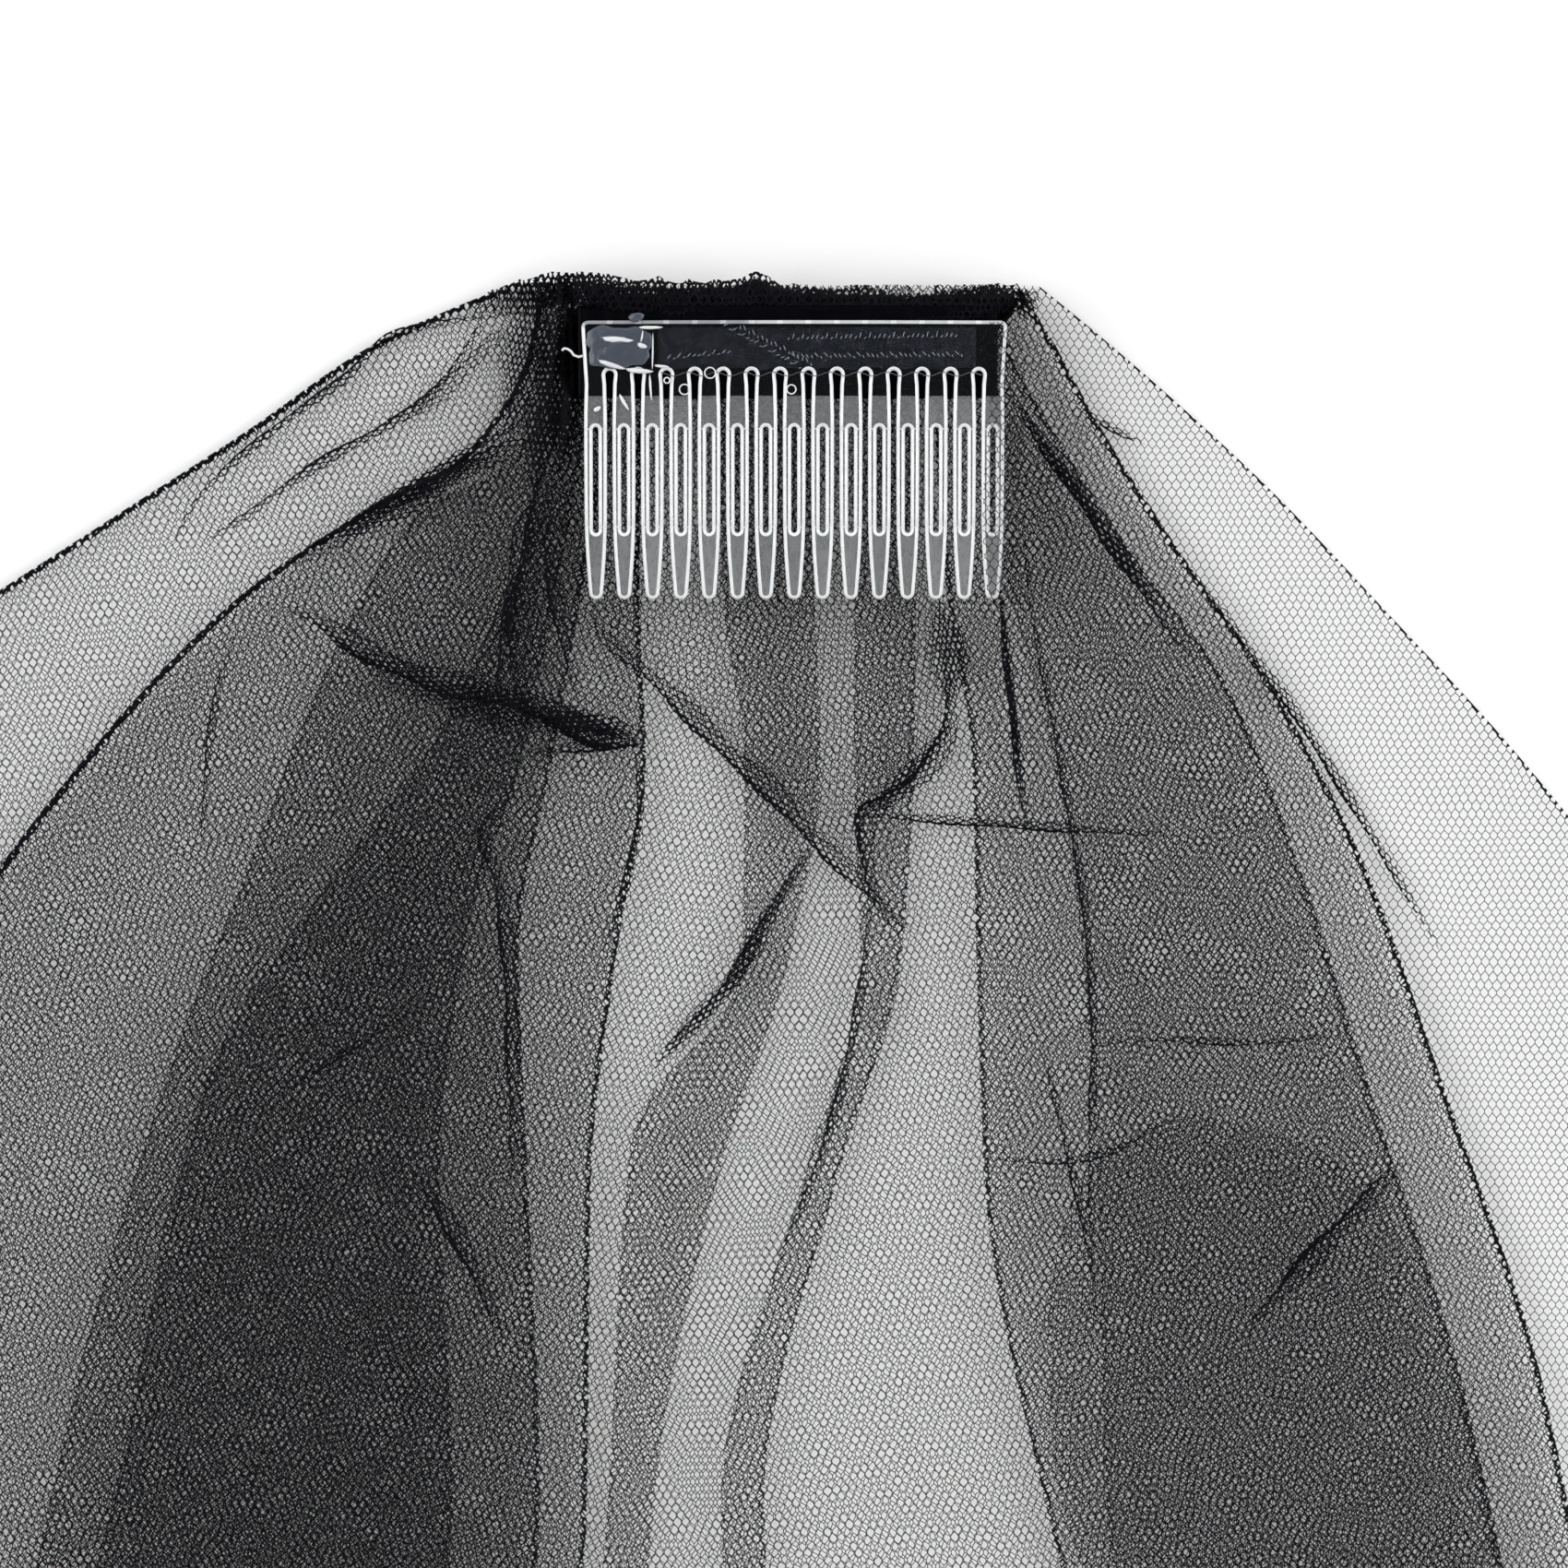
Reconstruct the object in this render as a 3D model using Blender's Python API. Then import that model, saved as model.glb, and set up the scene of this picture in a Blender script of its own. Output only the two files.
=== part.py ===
"""A cathedral veil: black tulle gathered under a ribbon on a clear plastic hair comb, laid out flat.

The veil lies on the XY plane with its underside at Z = 0. X runs across the comb, the comb's teeth and
the train point to -Y, and the origin is under the middle of the comb's top edge.
"""
import math

import bmesh
import bpy
import numpy as np

# Comb, moulded in clear plastic
COMB_WIDTH = 0.075
COMB_HEIGHT = 0.0490
COMB_THICKNESS = 0.0016
COMB_BAR_HEIGHT = 0.0088
COMB_CORNER_RADIUS = 0.0012
COMB_ARCH = 0.0015
COMB_TEETH = 15
TOOTH_TIP_WIDTH = 0.0022
TOOTH_DROP = 0.0055
SLOT_BULB_RADIUS = 0.00078
TOOTH_SLOT_WIDTH = 0.0010
TOOTH_SLOT_START = 0.0187
TOOTH_SLOT_LENGTH = 0.0186

# Ribbon that binds the gathers, and the bunched tulle under it
RIBBON_WIDTH = 0.016
RIBBON_SIDE_OVERLAP = 0.0006
RIBBON_THICKNESS = 0.0006
RIBBON_RISE = 0.0027
HEADING_RISE = 0.0078
HEADING_RAGGEDNESS = 0.0022
HEADING_SIDE_OVERLAP = 0.0022
HEADING_ROUND = 0.0018
PLEAT_COUNT = 24
PLEAT_DEPTH = 0.0005

# Hot glue between the comb's bar and the ribbon
GLUE_FILM_THICKNESS = 0.0004
GLUE_FILM_LENGTH = 0.056
GLUE_FILM_OFFSET = 0.0040
GLUE_FILM_DROP = 0.0085
GLUE_BLOB_PLACE = (-0.0297, -0.0062)
GLUE_BLOB_LENGTH = 0.0125
GLUE_BLOB_WIDTH = 0.0080
GLUE_BLOB_HEIGHT = 0.0011
GLUE_DAB_PLACE = (-0.0278, 0.0002)
GLUE_DAB_LENGTH = 0.0046
GLUE_DAB_WIDTH = 0.0032
GLUE_DAB_HEIGHT = 0.0008

# Tulle, one cloth folded to and fro under the comb
TULLE_WALL = 0.0010
LAYER_GAP = 0.0004
VEIL_LENGTH = 2.75
NEAR_FAN_LENGTH = 0.220
TRAIN_HALF_WIDTH = 0.325
GATHER_LINE = 0.0070
STEEPEST_SPREAD = 0.97

# Small clearance between pieces that touch
SEAT_GAP = 0.0003

LAYER_PITCH = TULLE_WALL + LAYER_GAP
HALF_COMB = COMB_WIDTH / 2
TOOTH_PITCH = COMB_WIDTH / COMB_TEETH

# Where each fold or hem lies across the veil, from left to right. The stations of the near fan are shares
# of its length and their places are shares of half the comb's width. The stations of the train are shares
# of the length below the near fan, and their places are shares of half the train's width.
NEAR_STATIONS = (0.0, 0.055, 0.136, 0.25, 0.386, 0.545, 0.727, 1.0)
TRAIN_STATIONS = (0.051, 0.229, 1.0)
FOLD_TABLE = {
    # fold            gather  ribbon teeth  tips   reach1 reach2 reach3 fan     train1 train2 hem
    "left_side":      ((-1.30, -1.60, -2.03, -2.58, -3.25, -4.03, -4.88, -6.10), (-0.83, -0.95, -1.03)),
    "left_line":      ((-1.19, -1.24, -1.47, -2.03, -2.68, -3.32, -3.96, -4.75), (-0.60, -0.62, -0.63)),
    "left_second":    ((-1.09, -1.12, -1.27, -1.81, -2.20, -2.54, -2.93, -3.38), (-0.46, -0.53, -0.585)),
    "left_third":     ((-0.98, -1.02, -1.10, -1.33, -1.67, -2.22, -2.77, -3.12), (-0.43, -0.50, -0.55)),
    "left_inner_a":   ((-0.87, -0.94, -1.02, -1.14, -1.30, -1.57, -1.69, -1.63), (-0.30, -0.41, -0.49)),
    "left_inner_b":   ((-0.76, -0.84, -0.91, -1.02, -1.16, -1.32, -1.28, -1.22), (-0.255, -0.38, -0.46)),
    "centre_left":    ((-0.63, -0.68, -0.74, -0.75, -0.72, -0.86, -0.98, -1.00), (-0.215, -0.335, -0.415)),
    "band_left":      ((-0.39, -0.37, -0.34, -0.32, -0.22, -0.23, -0.76, -0.86), (-0.125, -0.09, -0.045)),
    "band_right":     ((0.04, 0.05, 0.07, 0.08, 0.11, -0.04, -0.37, -0.68), (-0.10, -0.06, -0.01)),
    "pinch_left":     ((0.30, 0.29, 0.29, 0.30, 0.30, 0.33, 0.06, -0.33), (0.025, 0.17, 0.30)),
    "pinch_right":    ((0.54, 0.54, 0.55, 0.56, 0.55, 0.49, 0.19, -0.16), (0.05, 0.20, 0.33)),
    "centre_right":   ((0.68, 0.68, 0.69, 0.74, 0.86, 0.88, 0.92, 1.22), (0.25, 0.445, 0.605)),
    "inner_hem":      ((0.80, 0.82, 0.88, 1.02, 1.22, 1.36, 1.43, 1.48), (0.28, 0.475, 0.635)),
    "right_second":   ((0.92, 1.00, 1.23, 1.59, 2.05, 2.39, 2.71, 3.18), (0.435, 0.565, 0.685)),
    "right_line":     ((1.04, 1.21, 1.44, 1.80, 2.25, 2.68, 3.04, 3.54), (0.47, 0.60, 0.715)),
    "outer_hem":      ((1.16, 1.41, 1.77, 2.26, 2.81, 3.44, 4.10, 4.96), (0.66, 0.83, 0.96)),
}
# The way the cloth goes from its inner hem, on top of the stack, to its outer hem, on the surface
CLOTH_PATH = (
    "inner_hem", "right_second", "centre_right", "right_line", "pinch_left", "pinch_right",
    "band_left", "band_right", "left_third", "centre_left", "left_second", "left_inner_a",
    "left_line", "left_inner_b", "left_side", "outer_hem",
)
# Distances down the cloth at which it has a row of points, as shares of the near fan and of the train
NEAR_ROWS = (0.0, 0.025, 0.055, 0.09, 0.136, 0.18, 0.225, 0.27, 0.32, 0.37, 0.425, 0.48, 0.54, 0.60, 0.665,
             0.73, 0.81, 0.90)
TRAIN_ROWS = (0.0, 0.022, 0.06, 0.13, 0.24, 0.42, 0.68, 1.0)

# Half the gap between two teeth, as a share of the tooth pitch, against the way down from the slot's bulb
# to the tip, as a share of that way
TOOTH_SIDE = (
    (0.06, 0.125),
    (0.22, 0.095),
    (0.66, 0.105),
    (0.80, 0.145),
    (0.92, 0.220),
)


def clear_scene():
    for old in list(bpy.data.objects):
        bpy.data.objects.remove(old, do_unlink=True)


def make_material(name, colour, roughness, transmission=0.0, alpha=1.0):
    material = bpy.data.materials.new(name)
    material.use_nodes = True
    shader = material.node_tree.nodes["Principled BSDF"]
    shader.inputs["Base Color"].default_value = (*colour, 1.0)
    shader.inputs["Roughness"].default_value = roughness
    shader.inputs["Metallic"].default_value = 0.0
    shader.inputs["Transmission Weight"].default_value = transmission
    shader.inputs["Alpha"].default_value = alpha
    return material


def finish_object(name, bm, material, smooth_angle=None):
    """Turns a bmesh into a named object with its own material, faces outwards."""
    bmesh.ops.recalc_face_normals(bm, faces=bm.faces)
    if bm.calc_volume(signed=True) < 0:
        bmesh.ops.reverse_faces(bm, faces=bm.faces)
    mesh = bpy.data.meshes.new(name)
    bm.to_mesh(mesh)
    bm.free()
    mesh.materials.append(material)
    if smooth_angle is not None:
        mesh.shade_smooth()
        mesh.set_sharp_from_angle(angle=smooth_angle)
    piece = bpy.data.objects.new(name, mesh)
    bpy.context.scene.collection.objects.link(piece)
    return piece


def monotone_slopes(stations, values):
    """Slopes of a smooth curve through the values that never swings past them."""
    steps = np.diff(stations)
    secants = np.diff(values) / steps
    slopes = np.zeros(len(values))
    slopes[0] = secants[0]
    slopes[-1] = secants[-1]
    for i in range(1, len(values) - 1):
        if secants[i - 1] * secants[i] > 0:
            before = 2 * steps[i] + steps[i - 1]
            after = steps[i] + 2 * steps[i - 1]
            slopes[i] = (before + after) / (before / secants[i - 1] + after / secants[i])
    return slopes


def smooth_curve(stations, values, at):
    """Cubic curve through the values at the stations, read at the given distances."""
    stations = np.asarray(stations, float)
    values = np.asarray(values, float)
    slopes = monotone_slopes(stations, values)
    span = np.clip(np.searchsorted(stations, at, side="right") - 1, 0, len(stations) - 2)
    width = stations[span + 1] - stations[span]
    t = (at - stations[span]) / width
    start = (1 + 2 * t) * (1 - t) ** 2 * values[span] + t * (1 - t) ** 2 * width * slopes[span]
    end = t * t * (3 - 2 * t) * values[span + 1] + t * t * (t - 1) * width * slopes[span + 1]
    return start + end


def train_distance(share):
    return NEAR_FAN_LENGTH + share * (VEIL_LENGTH - NEAR_FAN_LENGTH)


def fold_lines(distances):
    """Place of every fold line at the given distances down the cloth, as an array of fold, row, xy.

    A thread that leans sideways reaches less far down, so the way down is what the sideways way leaves
    of the thread's length.
    """
    stations = [share * NEAR_FAN_LENGTH for share in NEAR_STATIONS]
    stations += [train_distance(share) for share in TRAIN_STATIONS]
    fine = np.concatenate([np.arange(0, NEAR_FAN_LENGTH, 0.001), np.arange(NEAR_FAN_LENGTH, VEIL_LENGTH, 0.01),
                           [VEIL_LENGTH]])
    lines = []
    for near, train in FOLD_TABLE.values():
        places = [share * HALF_COMB for share in near]
        places += [share * TRAIN_HALF_WIDTH for share in train]
        across = smooth_curve(stations, places, fine)
        lean = np.clip(np.diff(across) / np.diff(fine), -STEEPEST_SPREAD, STEEPEST_SPREAD)
        down = np.concatenate([[0.0], np.cumsum(np.sqrt(1 - lean ** 2) * np.diff(fine))])
        lines.append(np.stack([np.interp(distances, fine, across),
                               GATHER_LINE - np.interp(distances, fine, down)], axis=1))
    return np.array(lines)


def row_distances():
    near = [share * NEAR_FAN_LENGTH for share in NEAR_ROWS]
    return np.array(near + [train_distance(share) for share in TRAIN_ROWS])


def panel_spans():
    """Each run of cloth between two folds, from the top of the stack down, as places in FOLD_TABLE."""
    order = {name: i for i, name in enumerate(FOLD_TABLE)}
    path = [order[name] for name in CLOTH_PATH]
    return list(zip(path[:-1], path[1:]))


def layers_below(panel, line, spans):
    """How many panels lie under this panel at a fold line."""
    return sum(min(span) <= line <= max(span) for span in spans[panel + 1:])


def stack_top(line, spans):
    """Height of the cloth's upper face where it crosses a fold line."""
    covered = sum(min(span) <= line <= max(span) for span in spans)
    return (covered - 1) * LAYER_PITCH + TULLE_WALL


def cloth_profile(spans):
    """The points of one row: fold line, height of the wall's two faces, and their step past the fold.

    The wall turns round each fold, wide on the outer face and tight on the inner one.
    """
    profile = []
    for panel, (first, last) in enumerate(spans):
        way = 1 if last > first else -1
        for line in range(first, last + way, way):
            middle = layers_below(panel, line, spans) * LAYER_PITCH + TULLE_WALL / 2
            face = TULLE_WALL / 2 * way
            profile.append((line, middle + face, middle - face, 0.0, 0.0))
        if panel < len(spans) - 1:
            lower = layers_below(panel + 1, last, spans) * LAYER_PITCH + TULLE_WALL / 2
            turn = (middle + lower) / 2
            outer = (LAYER_PITCH + TULLE_WALL) / 2
            inner = (LAYER_PITCH - TULLE_WALL) / 2
            if way > 0:
                profile.append((last, turn, turn, outer, inner))
            else:
                profile.append((last, turn, turn, -inner, -outer))
    return profile


def make_tulle(material):
    """The veil: one wall of cloth that runs to and fro between its folds and fans out from the gather."""
    lines = fold_lines(row_distances())
    spans = panel_spans()
    profile = cloth_profile(spans)
    rows = lines.shape[1]
    across = np.gradient(lines, axis=0)
    across /= np.linalg.norm(across, axis=2, keepdims=True)
    bm = bmesh.new()
    faces = ([], [])
    for row in range(rows):
        for side in (0, 1):
            ring = []
            for line, *rest in profile:
                height = rest[side]
                place = lines[line, row] + rest[2 + side] * across[line, row]
                ring.append(bm.verts.new((place[0], place[1], height)))
            faces[side].append(ring)
    first_side, second_side = faces
    for row in range(rows - 1):
        for i in range(len(profile) - 1):
            for side in (first_side, second_side):
                bm.faces.new((side[row][i], side[row][i + 1], side[row + 1][i + 1], side[row + 1][i]))
        for i in (0, len(profile) - 1):
            bm.faces.new((first_side[row][i], first_side[row + 1][i], second_side[row + 1][i], second_side[row][i]))
    for row in (0, rows - 1):
        for i in range(len(profile) - 1):
            bm.faces.new((first_side[row][i], first_side[row][i + 1], second_side[row][i + 1], second_side[row][i]))
    return finish_object("tulle_veil", bm, material)


def arch(x):
    """Height of the comb's arch across its width, nought at its ends."""
    return COMB_ARCH * (1 - min(1.0, abs(x) / HALF_COMB) ** 2)


def tallest_stack():
    return max(stack_top(line, panel_spans()) for line in range(len(FOLD_TABLE)))


def heading_top(x):
    """Upper face of the bunched tulle under the ribbon."""
    return tallest_stack() + SEAT_GAP + HEADING_ROUND + arch(x)


def ribbon_base(x):
    return heading_top(x) + PLEAT_DEPTH + SEAT_GAP


def film_base(x):
    return ribbon_base(x) + RIBBON_THICKNESS + SEAT_GAP


def comb_base(x, y):
    """Underside of the comb: flat along the bar, then the teeth curve down to their tips."""
    past_bar = max(0.0, -y - COMB_BAR_HEIGHT) / (COMB_HEIGHT - COMB_BAR_HEIGHT)
    return film_base(x) + GLUE_FILM_THICKNESS + SEAT_GAP - TOOTH_DROP * past_bar ** 1.6


def comb_top(x, y):
    return comb_base(x, y) + COMB_THICKNESS


def cloth_top(x, y, lines, spans):
    """Height of the upper face of the cloth under a point near the gather, a little way round it too."""
    places = []
    for line in lines:
        places.append(np.interp(-y, -line[:, 1], line[:, 0]))
    heights = [stack_top(line, spans) for line in range(len(lines))]
    near = np.linspace(x - 2 * LAYER_PITCH, x + 2 * LAYER_PITCH, 9)
    return max(np.interp(near, places, heights))


def ragged_edge(x):
    """Upper edge of the bunched tulle, which frays out above the ribbon."""
    along = x / HALF_COMB
    fray = 0.45 * math.sin(9.0 * along + 0.4) + 0.3 * math.sin(23.0 * along) + 0.25 * math.sin(41.0 * along + 1.0)
    tuft = math.exp(-((along + 0.2) / 0.06) ** 2)
    return HEADING_RISE - HEADING_RAGGEDNESS / 2 * (1 - 0.7 * fray - 1.4 * tuft)


def make_heading(material):
    """The top of the cloth, gathered on its thread into a thick ruched roll between veil and ribbon."""
    lines = fold_lines(row_distances())
    spans = panel_spans()
    half_length = HALF_COMB + HEADING_SIDE_OVERLAP
    bottom = RIBBON_RISE - RIBBON_WIDTH
    swell = (0.72, 0.97, 1.0, 1.0, 0.9, 0.55)
    columns = 3 * PLEAT_COUNT
    bm = bmesh.new()
    grids = ([], [])
    for column in range(columns + 1):
        x = -half_length + 2 * half_length * column / columns
        pleat = PLEAT_DEPTH * math.cos(2 * math.pi * column / 3)
        top_edge = ragged_edge(x)
        lower = []
        upper = []
        for row, share in enumerate(swell):
            y = bottom + (top_edge - bottom) * row / (len(swell) - 1)
            base = cloth_top(x, min(y, GATHER_LINE), lines, spans) + SEAT_GAP
            lower.append(bm.verts.new((x, y, base)))
            upper.append(bm.verts.new((x, y, base + share * (heading_top(x) + pleat - base))))
        grids[0].append(lower)
        grids[1].append(upper)
    last_row = len(swell) - 1
    for grid in grids:
        for column in range(columns):
            for row in range(last_row):
                bm.faces.new((grid[column][row], grid[column + 1][row], grid[column + 1][row + 1],
                              grid[column][row + 1]))
    lower, upper = grids
    for column in range(columns):
        for row in (0, last_row):
            bm.faces.new((lower[column][row], lower[column + 1][row], upper[column + 1][row], upper[column][row]))
    for column in (0, columns):
        for row in range(last_row):
            bm.faces.new((lower[column][row], lower[column][row + 1], upper[column][row + 1], upper[column][row]))
    bmesh.ops.triangulate(bm, faces=bm.faces)
    return finish_object("gathered_heading", bm, material)


def arc_points(centre_x, centre_y, radius, start, end, steps):
    return [(centre_x + radius * math.cos(start + (end - start) * i / steps),
             centre_y + radius * math.sin(start + (end - start) * i / steps)) for i in range(steps + 1)]


def comb_outline():
    """The comb seen flat: rounded bar, then tooth after tooth from right to left."""
    right = HALF_COMB
    tip_radius = TOOTH_TIP_WIDTH / 2
    tip_centre = -COMB_HEIGHT + tip_radius
    bulb_centre = -COMB_BAR_HEIGHT - SLOT_BULB_RADIUS
    run = bulb_centre - tip_centre
    corner = COMB_CORNER_RADIUS
    points = arc_points(-right + corner, -corner, corner, math.pi, math.pi / 2, 3)
    for tooth in range(1, COMB_TEETH):
        points.append((-right + tooth * TOOTH_PITCH, 0.0))
    points += arc_points(right - corner, -corner, corner, math.pi / 2, 0.0, 3)
    outer_side = [(share, 0.0) for share, _ in TOOTH_SIDE]
    for tooth in range(COMB_TEETH):
        middle = right - (tooth + 0.5) * TOOTH_PITCH
        first = outer_side if tooth == 0 else TOOTH_SIDE
        for share, half_gap in first:
            points.append((middle + (0.5 - half_gap) * TOOTH_PITCH, bulb_centre - share * run))
        points += arc_points(middle, tip_centre, tip_radius, 0.0, -math.pi, 6)
        last = outer_side if tooth == COMB_TEETH - 1 else TOOTH_SIDE
        for share, half_gap in reversed(last):
            points.append((middle - (0.5 - half_gap) * TOOTH_PITCH, bulb_centre - share * run))
        if tooth < COMB_TEETH - 1:
            gap = middle - TOOTH_PITCH / 2
            points += arc_points(gap, bulb_centre, SLOT_BULB_RADIUS, -0.25, math.pi + 0.25, 6)
    return points


def tooth_slot(middle):
    """The long oval slot through one tooth."""
    radius = TOOTH_SLOT_WIDTH / 2
    upper = -TOOTH_SLOT_START - radius
    lower = -TOOTH_SLOT_START - TOOTH_SLOT_LENGTH + radius
    points = arc_points(middle, upper, radius, 0.0, math.pi, 4)
    points.append((middle - radius, (upper + lower) / 2))
    points += arc_points(middle, lower, radius, math.pi, 2 * math.pi, 4)
    points.append((middle + radius, (upper + lower) / 2))
    return points


def plate_from_outlines(outlines, base, thickness):
    """A plate of even thickness with the first outline as its edge and the others as holes."""
    bm = bmesh.new()
    for outline in outlines:
        corners = [bm.verts.new((x, y, 0.0)) for x, y in outline]
        for i, corner in enumerate(corners):
            bm.edges.new((corner, corners[(i + 1) % len(corners)]))
    bmesh.ops.triangle_fill(bm, use_beauty=True, edges=bm.edges[:], normal=(0.0, 0.0, 1.0))
    lower = bm.verts[:]
    raised = bmesh.ops.extrude_face_region(bm, geom=bm.faces[:])
    upper = [item for item in raised["geom"] if isinstance(item, bmesh.types.BMVert)]
    for corner in lower:
        corner.co.z = base(corner.co.x, corner.co.y)
    for corner in upper:
        corner.co.z = base(corner.co.x, corner.co.y) + thickness
    return bm


def make_comb(material):
    slots = [tooth_slot((tooth + 0.5) * TOOTH_PITCH - HALF_COMB) for tooth in range(COMB_TEETH)]
    bm = plate_from_outlines([comb_outline()] + slots, comb_base, COMB_THICKNESS)
    return finish_object("comb", bm, material, math.radians(35))


def strip_outline(half_length, bottom, top, columns, wave=0.0, waves=0.0):
    """A long strip seen flat, whose lower edge may run in waves."""
    places = [-half_length + 2 * half_length * i / columns for i in range(columns + 1)]
    lower = [(x, bottom + wave * math.sin(waves * math.pi * x / half_length)) for x in places]
    upper = [(x, top) for x in reversed(places)]
    return lower + upper


def make_ribbon(material):
    outline = strip_outline(HALF_COMB + RIBBON_SIDE_OVERLAP, RIBBON_RISE - RIBBON_WIDTH, RIBBON_RISE, 16)
    bm = plate_from_outlines([outline], lambda x, y: ribbon_base(x), RIBBON_THICKNESS)
    return finish_object("ribbon_band", bm, material, math.radians(35))


def make_glue_film(material):
    """The thin layer of glue that holds the bar to the ribbon, with a wavy lower edge."""
    outline = strip_outline(GLUE_FILM_LENGTH / 2, -GLUE_FILM_DROP, -COMB_CORNER_RADIUS, 28, 0.00025, 7)
    outline = [(x + GLUE_FILM_OFFSET, y) for x, y in outline]
    bm = plate_from_outlines([outline], lambda x, y: film_base(x), GLUE_FILM_THICKNESS)
    return finish_object("glue_film", bm, material, math.radians(35))


def make_drop(name, centre, length, width, height, base, material):
    """A drop of set glue: rings that step in and up to a crown, over a flat foot."""
    rings = ((1.0, 0.0), (0.97, 0.35), (0.84, 0.68), (0.6, 0.9), (0.3, 0.98))
    segments = 14
    bm = bmesh.new()
    loops = []
    for share, rise in rings:
        loop = []
        for i in range(segments):
            angle = 2 * math.pi * i / segments
            lobes = share * (1 + 0.12 * math.sin(3 * angle + 0.7))
            x = centre[0] + length / 2 * lobes * math.cos(angle)
            y = centre[1] + width / 2 * lobes * math.sin(angle)
            loop.append(bm.verts.new((x, y, base(x, y) + SEAT_GAP + height * rise)))
        loops.append(loop)
    crown_height = base(*centre) + SEAT_GAP + height
    crown = bm.verts.new((centre[0], centre[1], crown_height))
    for lower, upper in zip(loops[:-1], loops[1:]):
        for i in range(segments):
            bm.faces.new((lower[i], lower[(i + 1) % segments], upper[(i + 1) % segments], upper[i]))
    for i in range(segments):
        bm.faces.new((loops[-1][i], loops[-1][(i + 1) % segments], crown))
    bm.faces.new(loops[0])
    bmesh.ops.triangulate(bm, faces=bm.faces)
    return finish_object(name, bm, material, math.radians(60))


clear_scene()
clear_plastic = make_material("clear_plastic", (0.86, 0.88, 0.90), 0.12, transmission=0.9)
black_tulle = make_material("black_tulle", (0.012, 0.012, 0.016), 0.75)
bunched_tulle = make_material("bunched_tulle", (0.008, 0.008, 0.011), 0.85)
satin = make_material("black_satin", (0.006, 0.007, 0.012), 0.35)
glue = make_material("hot_glue", (0.88, 0.88, 0.86), 0.18, transmission=0.8)

make_tulle(black_tulle)
make_heading(bunched_tulle)
make_ribbon(satin)
make_glue_film(glue)
make_comb(clear_plastic)
make_drop("glue_blob", GLUE_BLOB_PLACE, GLUE_BLOB_LENGTH, GLUE_BLOB_WIDTH, GLUE_BLOB_HEIGHT, comb_top, glue)
make_drop("glue_dab", GLUE_DAB_PLACE, GLUE_DAB_LENGTH, GLUE_DAB_WIDTH, GLUE_DAB_HEIGHT, comb_top, glue)
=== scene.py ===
"""A cathedral veil: black tulle gathered on a clear plastic hair comb, laid flat on a white floor."""
import math

import bmesh
import bpy
import numpy as np
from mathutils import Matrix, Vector
from mathutils.bvhtree import BVHTree


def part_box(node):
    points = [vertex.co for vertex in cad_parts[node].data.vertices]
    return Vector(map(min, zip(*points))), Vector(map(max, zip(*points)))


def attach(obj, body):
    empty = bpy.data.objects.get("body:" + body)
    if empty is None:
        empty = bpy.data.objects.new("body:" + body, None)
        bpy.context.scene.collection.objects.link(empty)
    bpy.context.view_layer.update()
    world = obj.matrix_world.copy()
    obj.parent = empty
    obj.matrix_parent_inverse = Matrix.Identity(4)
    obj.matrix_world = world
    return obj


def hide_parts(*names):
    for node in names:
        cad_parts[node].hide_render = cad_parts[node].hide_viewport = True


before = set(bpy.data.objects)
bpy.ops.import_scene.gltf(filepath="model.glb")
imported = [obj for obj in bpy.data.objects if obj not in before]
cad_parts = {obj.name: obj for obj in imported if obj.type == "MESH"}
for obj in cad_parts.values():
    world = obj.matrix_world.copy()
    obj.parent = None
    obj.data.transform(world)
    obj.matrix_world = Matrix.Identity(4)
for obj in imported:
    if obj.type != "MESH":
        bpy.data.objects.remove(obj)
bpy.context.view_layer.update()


# The camera hangs straight above the comb's end of the veil, as the photograph was taken. The long train
# runs out of the picture at its foot.
CAMERA_HEIGHT = 1.6
CAMERA_PLACE = (-0.0018, -0.0816)
PICTURE_WIDTH = 0.276
COMB_LEVEL = 0.017

camera_data = bpy.data.cameras.new("camera")
camera_data.sensor_width = 36.0
camera_data.lens = camera_data.sensor_width * (CAMERA_HEIGHT - COMB_LEVEL) / PICTURE_WIDTH
camera_data.clip_end = 50.0
camera = bpy.data.objects.new("camera", camera_data)
camera.location = (*CAMERA_PLACE, CAMERA_HEIGHT)
bpy.context.scene.collection.objects.link(camera)
bpy.context.scene.camera = camera


# The floor is a white sweep of matt paper, lit evenly by a pale room and two broad soft lamps, one at each
# side, so that nothing casts a hard shadow. The room is dark overhead, where the camera hangs.
FLOOR_HALF_SIZE = 9.0
FLOOR_DROP = 0.0004
ROOM_LIGHT = 0.62
OVERHEAD_LIGHT = 0.03
LAMP_LIGHT = 1.80
LAMP_SPREAD = math.radians(55)
LAMP_TILT = math.radians(52)
LAMP_LEAN = math.radians(-8)


def linear(hex_colour):
    """Turns an sRGB hex colour into linear red, green, blue and alpha."""
    parts = [int(hex_colour[i:i + 2], 16) / 255 for i in (1, 3, 5)]
    return [p / 12.92 if p <= 0.04045 else ((p + 0.055) / 1.055) ** 2.4 for p in parts] + [1.0]


def add_node(owner, kind, inputs=None, links=None, **settings):
    """Adds a node to a material or the world, with its settings, input values and incoming links."""
    node = owner.node_tree.nodes.new(kind)
    for name, value in settings.items():
        setattr(node, name, value)
    for socket, value in (inputs or {}).items():
        node.inputs[socket].default_value = value
    for socket, output in (links or {}).items():
        owner.node_tree.links.new(output, node.inputs[socket])
    return node


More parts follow.
